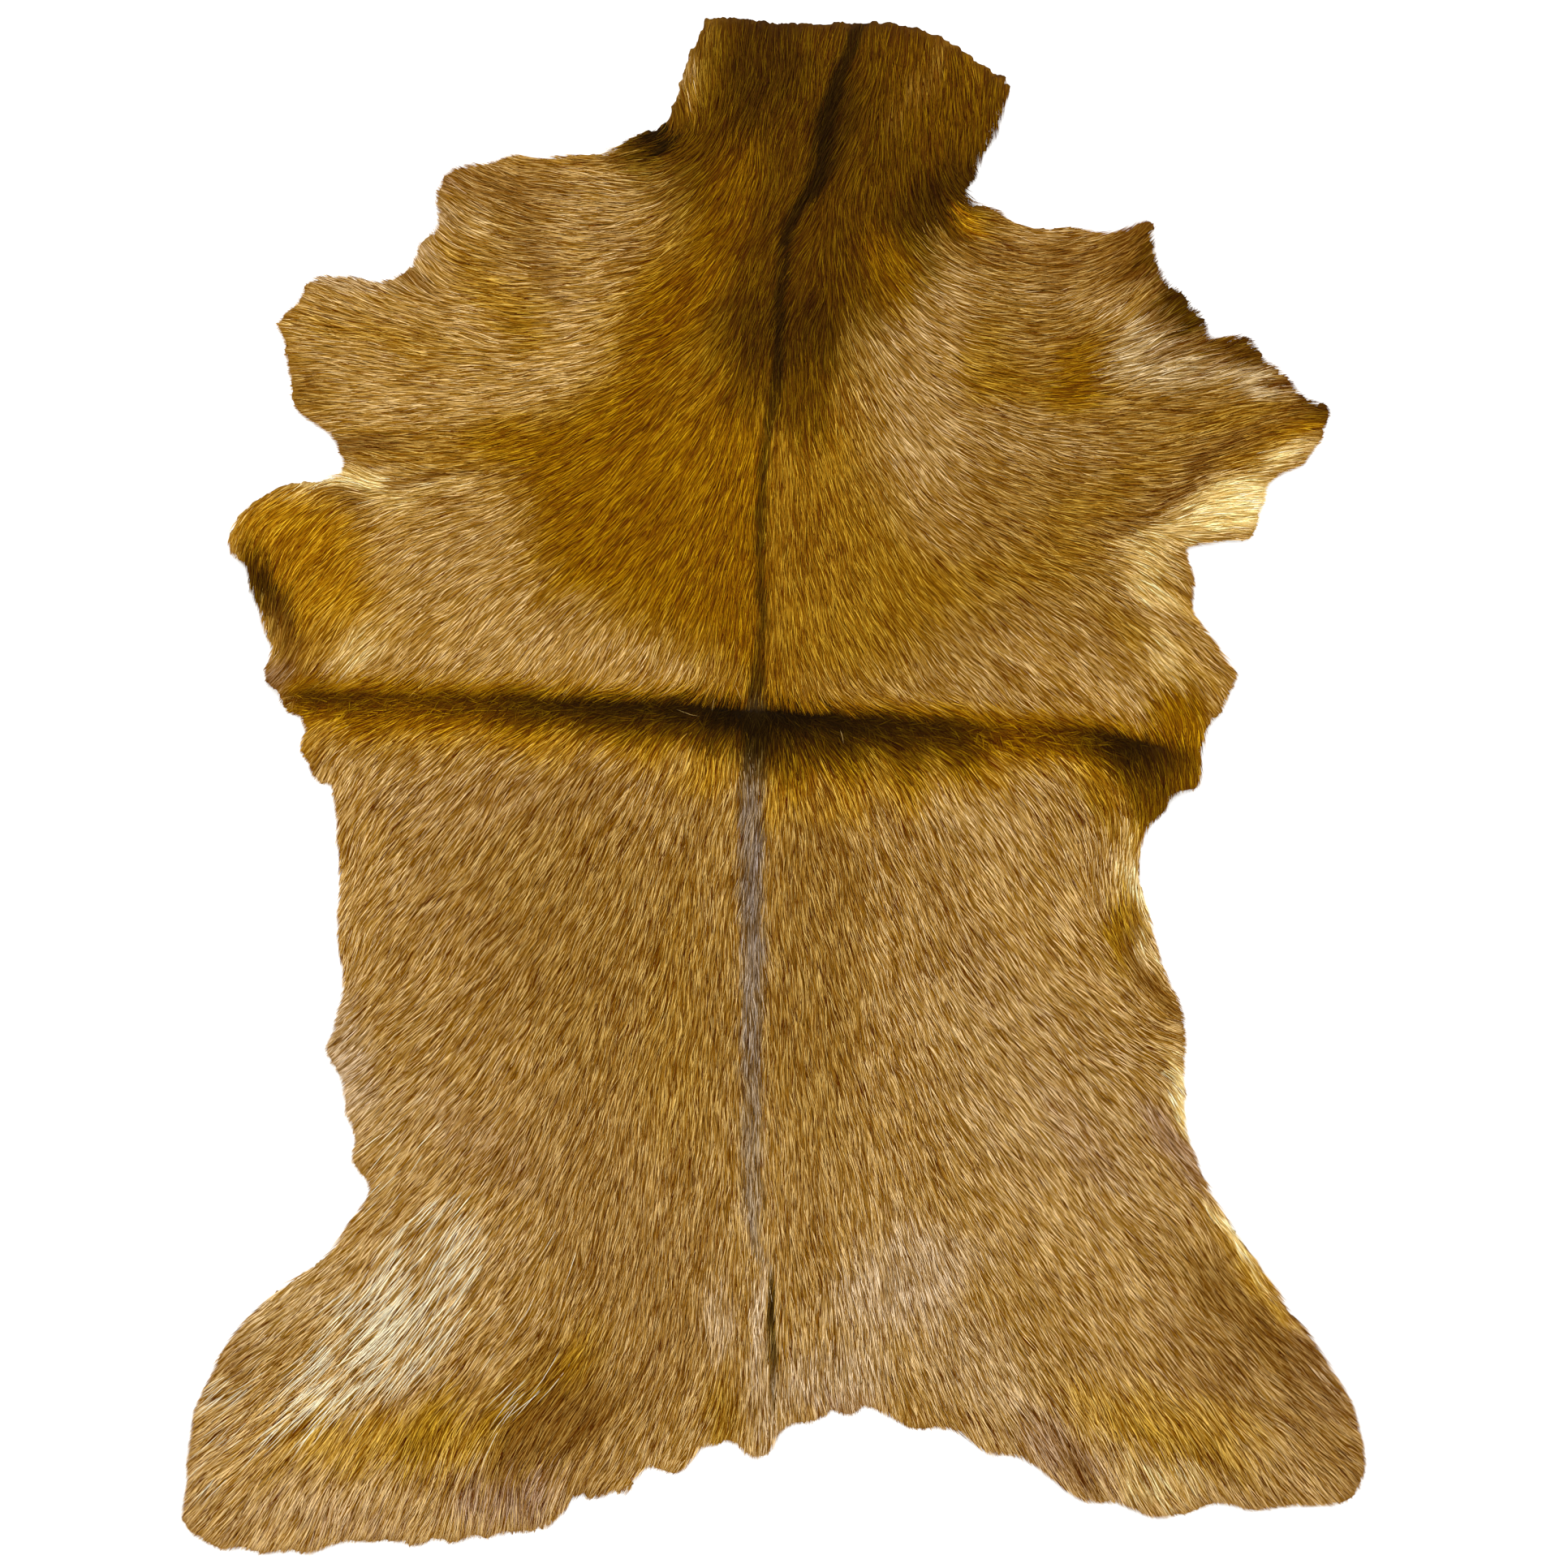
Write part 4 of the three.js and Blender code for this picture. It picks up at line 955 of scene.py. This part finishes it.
def comb(x, y, length, turned, form):
    """Lays hairs along the coat: the places of their points, root first, and the way each points."""
    ways = []
    places = [np.column_stack([x, y])]
    for (start, _), (end, _) in zip(form, form[1:]):
        way = read(lay_way, *places[-1].T)
        c, s = np.cos(turned), np.sin(turned)
        way = np.column_stack([way[:, 0] * c - way[:, 1] * s, way[:, 0] * s + way[:, 1] * c])
        ways.append(way)
        places.append(places[-1] + way * ((end - start) * length)[:, None])
    return np.stack(places, axis=1), np.stack([*ways, ways[-1]], axis=1)


def cut_at_rim(x, y, length, turned, form, overhang):
    """Hair lengths, shortened so that no tip reaches further past the rim than its overhang."""
    for _ in range(trim["rounds"]):
        tip = comb(x, y, length, turned, form)[0][:, -1]
        past = -read(rim_distance, *tip.T) - overhang
        length = np.where(past > 0, np.maximum(length - past * trim["over"], trim["least"]), length)
    return length


def joined_hairs(name, vertices, colours, faces):
    """One mesh of many like hairs, each with the same few vertices and faces, and its object."""
    count, each = vertices.shape[:2]
    pattern = np.array([corner for face in faces for corner in face])
    starts = np.cumsum([0] + [len(face) for face in faces[:-1]])
    loops = (np.arange(count)[:, None] * each + pattern).ravel()
    loop_starts = (np.arange(count)[:, None] * len(pattern) + starts).ravel()
    mesh = bpy.data.meshes.new(name)
    mesh.vertices.add(count * each)
    mesh.vertices.foreach_set("co", (vertices * MM).ravel())
    mesh.loops.add(len(loops))
    mesh.loops.foreach_set("vertex_index", loops.astype(np.int32))
    mesh.polygons.add(count * len(faces))
    mesh.polygons.foreach_set("loop_start", loop_starts.astype(np.int32))
    mesh.update(calc_edges=True)
    colour_and_shade = np.concatenate([colours, np.ones((count, each, 1))], axis=2)
    mesh.attributes.new("hair_colour", "FLOAT_COLOR", "POINT").data.foreach_set("color", colour_and_shade.ravel())
    # Seen from above, so that one flat picture of the coat can be laid over all its hairs.
    place = vertices.reshape(-1, 3)[loops]
    u = (place[:, 0] - chart_x[0]) / (chart_x[-1] - chart_x[0])
    v = (place[:, 1] - chart_y[0]) / (chart_y[-1] - chart_y[0])
    mesh.uv_layers.new(name="OFBake").data.foreach_set("uv", np.column_stack([u, v]).ravel())
    mesh.materials.append(hair.material)
    made = bpy.data.objects.new(name, mesh)
    bpy.context.scene.collection.objects.link(made)
    return made


def lay_hairs(name, hairs, form):
    """A piece of flat tapered hairs of one form, the highest last, from their roots, lengths and so on."""
    places, ways = comb(hairs["x"], hairs["y"], hairs["length"], hairs["turned"], form)
    order = np.argsort(hairs["rise"] + read(skin_top, hairs["x"], hairs["y"]))
    places, ways = places[order], ways[order]
    width, rise, roll, tints = (hairs[k][order] for k in ("width", "rise", "roll", "tints"))
    corners, faces, taken = [], [], 0
    vertices, colours = [], []
    for k, (share, breadth) in enumerate(form):
        here = places[:, k]
        lift = math.sin(min(share * rise_speed, 1) * math.pi / 2)
        height = read(skin_top, *here.T) + rise * lift - root_depth * (share == 0)
        middle = np.column_stack([here, height])
        level = np.column_stack([-ways[:, k, 1], ways[:, k, 0]]) * np.cos(roll)[:, None]
        across = np.column_stack([level, np.sin(roll)]) * (width * breadth / 2)[:, None]
        made = [middle - across, middle + across] if breadth else [middle]
        vertices += made
        colours += [tints[:, k]] * len(made)
        corners.append(list(range(taken, taken + len(made))))
        taken += len(made)
    for low, high in zip(corners, corners[1:]):
        faces.append([low[0], *high, *reversed(low[1:])])
    made = joined_hairs(name, np.stack(vertices, axis=1), np.stack(colours, axis=1), faces)
    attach(made, "root")
    return made


def tinted(x, y, way, length, random, tuft, layer):
    """The colour of each hair from root to tip, as linear light. Hairs of a tuft go in a row."""
    along = length * random.uniform(*tint_place, len(x))
    mx, my = x + way[:, 0] * along, y + way[:, 1] * along
    colour = coat_colour(mx, my)
    shade = np.repeat(random.normal(0, layer["tuft_spread"], len(x) // tuft), tuft)
    shade = shade + random.normal(0, layer["hair_spread"], len(x))
    shade = shade * (1 + (contrast["thighs"] - 1) * thigh_share(x, y))
    lower = soft_step((contrast["shoulder_line"] + contrast["soft"] - y) / contrast["soft"])
    shade = shade * (contrast["shoulders"] + (1 - contrast["shoulders"]) * lower)
    for row, cloud_seed in zip(tint_clouds.values(), (24, 23)):
        shade = shade + row["by"] * cloud(mx, my, row["size"], cloud_seed)
    draw = random.random(len(x))
    shade = shade + odd_hair["dark"] * (draw < layer["dark_share"])
    shade = shade + odd_hair["light"] * (draw > 1 - layer["light_share"])
    shade = shade + layer["tone"] - 1
    shade = shade + tail_paling["by"] * soft_step((tail_paling["line"] - y) / tail_paling["soft"])
    shade = np.clip(shade, darkest_hair, lightest_hair)
    blueness = np.clip(colour[:, 2] / paling["full_blue"], 0, 1)
    green, blue = (low + (high - low) * blueness for low, high in (paling["green"], paling["blue"]))
    change = np.minimum(colour[:, 0], lightest_red) * shade
    colour = np.maximum(colour + change[:, None] * np.column_stack([np.ones(len(x)), green, blue]), 1)
    fade = np.interp([share for share, _ in layer["form"]], hair_fade["at"], hair_fade["tone"])
    return linear(colour[:, None, :] * fade[None, :, None])


def coat_layer(name, layer, seed):
    """Settles one layer of the coat: where its hairs stand, how they lie and their colours."""
    random = np.random.default_rng(seed)
    tuft = layer["tuft"]
    x, y = scatter(layer["count"] / tuft, random)
    x, y = (np.repeat(a, tuft) + random.normal(0, layer["tuft_size"], len(a) * tuft) for a in (x, y))
    kept = can_grow(x, y).reshape(-1, tuft).all(axis=1).repeat(tuft)
    x, y = x[kept], y[kept]
    tufts = len(x) // tuft
    middle_x, middle_y = (np.repeat(a.reshape(-1, tuft).mean(axis=1), tuft) for a in (x, y))
    way = read(lay_way, middle_x, middle_y)
    messy = soft_step(1 - np.abs(along_crease(x, "y") - crease_mess["line"] - y) / crease_mess["reach"])
    messy = messy * (x > crease_mess["from"]) * (x < crease_mess["to"])
    length = natural_length(x, y) * layer["length"] * (1 - crease_mess["shorter"] * messy)
    length = length * np.repeat(random.uniform(*varied["tuft_length"], tufts), tuft)
    length = length * random.uniform(*varied["length"], len(x))
    over = y - along_crease(x, "y")
    to_crease = over / np.maximum(-way[:, 1], 0.2) + random.uniform(0, crease_stop["past"], len(x))
    stops = (over > 0) & (x > crease_stop["from"]) & (x < crease_stop["to"])
    length = np.where(stops, np.minimum(length, np.maximum(to_crease, crease_stop["least"])), length)
    aside = (y - middle_y) * way[:, 0] - (x - middle_x) * way[:, 1]
    turned = np.repeat(random.normal(0, 1, tufts), tuft) * (turning["tuft"] + crease_mess["turn"] * messy)
    turned = turned + random.normal(0, turning["hair"], len(x))
    turned = turned + turning["cloud"] * cloud(x, y, size=11, seed=31)
    turned = turned - (turning["gather"] + turning["thigh_gather"] * thigh_share(x, y)) * aside / length
    ragged = tip_overhang["even"] + tip_overhang["tufts"] * cloud(x, y, size=3.6, seed=41) - nicks(x, y)
    ragged = ragged + tip_overhang["hairs"] * random.normal(0, 1, len(x))
    ragged = np.clip(ragged, tip_overhang["least"], tip_overhang["most"])
    length = cut_at_rim(x, y, length, turned, layer["form"], ragged)
    rise = coat_depth(x, y) * layer["rise"] * random.uniform(*varied["rise"], len(x))
    hairs = {"x": x, "y": y, "length": length, "turned": turned,
             "rise": rise * np.minimum(length / full_rise_length, 1),
             "width": layer["width"] * random.uniform(*varied["width"], len(x)),
             "roll": random.normal(0, hair_roll, len(x)),
             "tints": tinted(x, y, way, length, random, tuft, layer)}
    return lay_hairs(name, hairs, layer["form"])


lay_way = lay_chart()
zone_charts = zone_shares()

# Down between the roots the skin has the colour of the hair on it, darkened as painted shade.
colour_and_shade = linear(coat_colour(*points.T) * painted_root_shade)
colour_and_shade = np.column_stack([np.vstack([colour_and_shade, colour_and_shade]), np.ones(2 * len(points))])
skin.data.attributes.new("hair_colour", "FLOAT_COLOR", "POINT").data.foreach_set("color", colour_and_shade.ravel())

hair = Finish("goat_hair", Roughness=0.5, Specular_IOR_Level=0.07, Specular_Tint=(1, 0.66, 0.2, 1))
grown = hair.node("ShaderNodeAttribute", {"attribute_name": "hair_colour"}, {}, "Color")
worn = hair.steps(hair.noise(45, 3), 0.3, 0.75)
fine = hair.steps(hair.noise(900, 2), 0.2, 0.8)
hair.feed(Roughness=0.42 + 0.2 * fine, Base_Color=hair.mix(worn * 0.25, grown, worn_tint, "MULTIPLY"))

# Each form is a hair's breadth at shares of its length, root first. No breadth is a point.
hair_forms = {
    "spike": [(0, 1), (1, 0)],
    "leaf": [(0, 0), (0.42, 1), (1, 0)],
    "long": [(0, 0.7), (0.3, 1), (0.65, 0.8), (1, 0)],
}
# A layer's tone is lower the deeper it lies in the coat: painted shade where hair lies under other hair.
underhair = coat_layer("underhair", {
    "count": 192000, "form": hair_forms["spike"], "tuft": 2, "tuft_size": 0.8, "length": 0.95, "width": 0.9,
    "rise": 0.45, "tone": 0.86, "tuft_spread": 0.02, "hair_spread": 0.12, "dark_share": 0.05,
    "light_share": 0.02}, 101)

# Topcoat
# The goat's straight outer hairs, 10 to 25 mm long and up to 35 mm on the thighs. They grow among the
# underhair, lie over it like thatch and give the coat its colour and shine. Three layers lie over each
# other.
# As with the underhair, their tones fall from the highest layer down: painted shade.
topcoat_layers = {
    "topcoat_low": {
        "count": 192000, "form": hair_forms["spike"], "tuft": 2, "tuft_size": 0.8, "length": 1.15,
        "width": 0.54, "rise": 0.6, "tone": 0.92, "tuft_spread": 0.01, "hair_spread": 0.19,
        "dark_share": 0.06, "light_share": 0.03},
    "topcoat_middle": {
        "count": 97000, "form": hair_forms["leaf"], "tuft": 1, "tuft_size": 0.3, "length": 1.3,
        "width": 0.4, "rise": 0.78, "tone": 0.965, "tuft_spread": 0, "hair_spread": 0.28,
        "dark_share": 0.06, "light_share": 0.03},
    "topcoat_high": {
        "count": 97000, "form": hair_forms["leaf"], "tuft": 1, "tuft_size": 0.3, "length": 1.4,
        "width": 0.36, "rise": 0.92, "tone": 0.99, "tuft_spread": 0, "hair_spread": 0.33,
        "dark_share": 0.06, "light_share": 0.03},
}
topcoat = [coat_layer(name, layer, 200 + 10 * number)
           for number, (name, layer) in enumerate(topcoat_layers.items())]

# White hairs
# Long white hairs that stand singly and in thin clumps among the tan ones on the left thigh, and a
# few loose pale ones that the brush has left across the coat.
white_patches = [
    {"x": -224, "y": -314, "turn": 56, "long": 80, "wide": 36, "hairs": 760},
    {"x": -262, "y": -356, "turn": 50, "long": 54, "wide": 24, "hairs": 230},
    {"x": -212, "y": -330, "turn": 30, "long": 42, "wide": 26, "hairs": 90},
    {"x": -226, "y": -226, "turn": 60, "long": 60, "wide": 22, "hairs": 34},
    {"x": -144, "y": -366, "turn": 42, "long": 34, "wide": 12, "hairs": 26},
    {"x": -328, "y": -392, "turn": 46, "long": 56, "wide": 22, "hairs": 90},
    {"x": -332, "y": -368, "turn": 24, "long": 14, "wide": 8, "hairs": 30},
    {"x": -166, "y": -306, "turn": 50, "long": 70, "wide": 40, "hairs": 34},
]
white_clump = 1.6
white_length = (20, 38)
white_width = (0.22, 0.38)
white_rise = (1.05, 1.25)
white_turning = {"hair": 0.08, "cloud": 0.1}
white_roll = 0.2
white_tone = (0.88, 1.05)
white_fade = (0.8, 0.97, 1, 1.03)
patch_fullness = 0.65
# How many of a patch's hairs are there between its clumps, and how many more in them.
white_kept = {"even": 0.45, "clumps": 1.2}
white_rim = 4
# Loose hairs: where the root lies, which way it points and how long it is.
loose_hairs = [
    {"x": -24, "y": 63, "way": -66, "length": 11}, {"x": -60, "y": 47, "way": -22, "length": 16},
    {"x": 41, "y": 35, "way": -69, "length": 10}, {"x": -37, "y": -70, "way": -85, "length": 9},
    {"x": 124, "y": -147, "way": -15, "length": 16}, {"x": -131, "y": -164, "way": -100, "length": 7},
    {"x": -36, "y": 55, "way": -98, "length": 10}, {"x": 234, "y": -380, "way": 0, "length": 11},
    {"x": 39, "y": -291, "way": -36, "length": 32}, {"x": 196, "y": 52, "way": -58, "length": 12}]
loose_fineness = 0.6


def white_hairs():
    """Settles where the white hairs stand, how they lie and their colours."""
    random = np.random.default_rng(301)
    x, y = [], []
    for row in white_patches:
        reach = random.random(row["hairs"]) ** patch_fullness
        round_way = random.uniform(0, 2 * math.pi, row["hairs"])
        u, v = reach * np.cos(round_way) * row["long"], reach * np.sin(round_way) * row["wide"]
        c, s = math.cos(math.radians(row["turn"])), math.sin(math.radians(row["turn"]))
        x.append(row["x"] + u * c - v * s)
        y.append(row["y"] + u * s + v * c)
    x, y = np.concatenate(x), np.concatenate(y)
    clumps = streaks(x, y, read(lay_way, x, y), white_clump, seed=33)
    stands = random.random(len(x)) < white_kept["even"] + white_kept["clumps"] * clumps
    kept = (read(rim_distance, x, y) > white_rim) & stands
    x, y = x[kept], y[kept]
    turned = random.normal(0, white_turning["hair"], len(x))
    turned = turned + white_turning["cloud"] * cloud(x, y, size=11, seed=31)
    length = random.uniform(*white_length, len(x))
    loose = columns(loose_hairs)
    way = read(lay_way, loose["x"], loose["y"])
    x, y = np.append(x, loose["x"]), np.append(y, loose["y"])
    turned = np.append(turned, np.radians(loose["way"]) - np.arctan2(way[:, 1], way[:, 0]))
    length = np.append(length, loose["length"])
    length = cut_at_rim(x, y, length, turned, hair_forms["long"], np.zeros(len(x)))
    n = len(x)
    is_loose = np.arange(n) >= n - len(loose_hairs)
    tone = np.where(is_loose[:, None], coat_colours["butter"], coat_colours["white"])
    tone = tone * random.uniform(*white_tone, n)[:, None]
    fade = np.array(white_fade)
    return {"x": x, "y": y, "length": length, "turned": turned,
            "width": random.uniform(*white_width, n) * np.where(is_loose, loose_fineness, 1),
            "rise": coat_depth(x, y) * random.uniform(*white_rise, n),
            "roll": random.normal(0, white_roll, n),
            "tints": linear(tone[:, None, :] * fade[None, :, None])}


white = lay_hairs("white_hairs", white_hairs(), hair_forms["long"])

# Floor and light
# A plain near-white floor, a wide soft light from the neck's side, a weaker one from the tail's side
# and an even white surround.
floor_half = 12.0
floor_drop = 0.4 * MM
floor_colour = (0.93, 0.93, 0.93)
lights = {
    "main": {"place": (0.1, 1.3, 2.4), "size": 2.2, "power": 46},
    "fill": {"place": (-0.7, -1.2, 2.2), "size": 2.0, "power": 16},
}
surround = 0.98

floor_finish = Finish("floor", Roughness=0.9)
floor_finish.feed(Base_Color=floor_colour)
half = floor_half / MM
floor_corners = [(x * half, y * half, -floor_drop / MM) for x, y in ((-1, -1), (1, -1), (1, 1), (-1, 1))]
floor = new_object("floor", floor_corners, [(0, 1, 2, 3)], [floor_finish.material])
for name, row in lights.items():
    lamp = bpy.data.lights.new(name, "AREA")
    lamp.size = row["size"]
    lamp.energy = row["power"]
    holder = bpy.data.objects.new(name, lamp)
    holder.location = row["place"]
    holder.rotation_euler = (-Vector(row["place"])).to_track_quat("-Z", "Y").to_euler()
    bpy.context.scene.collection.objects.link(holder)
world = bpy.data.worlds.new("surround")
world.use_nodes = True
world.node_tree.nodes["Background"].inputs["Color"].default_value = (1, 1, 1, 1)
world.node_tree.nodes["Background"].inputs["Strength"].default_value = surround
bpy.context.scene.world = world
bpy.context.scene.view_settings.view_transform = "Standard"
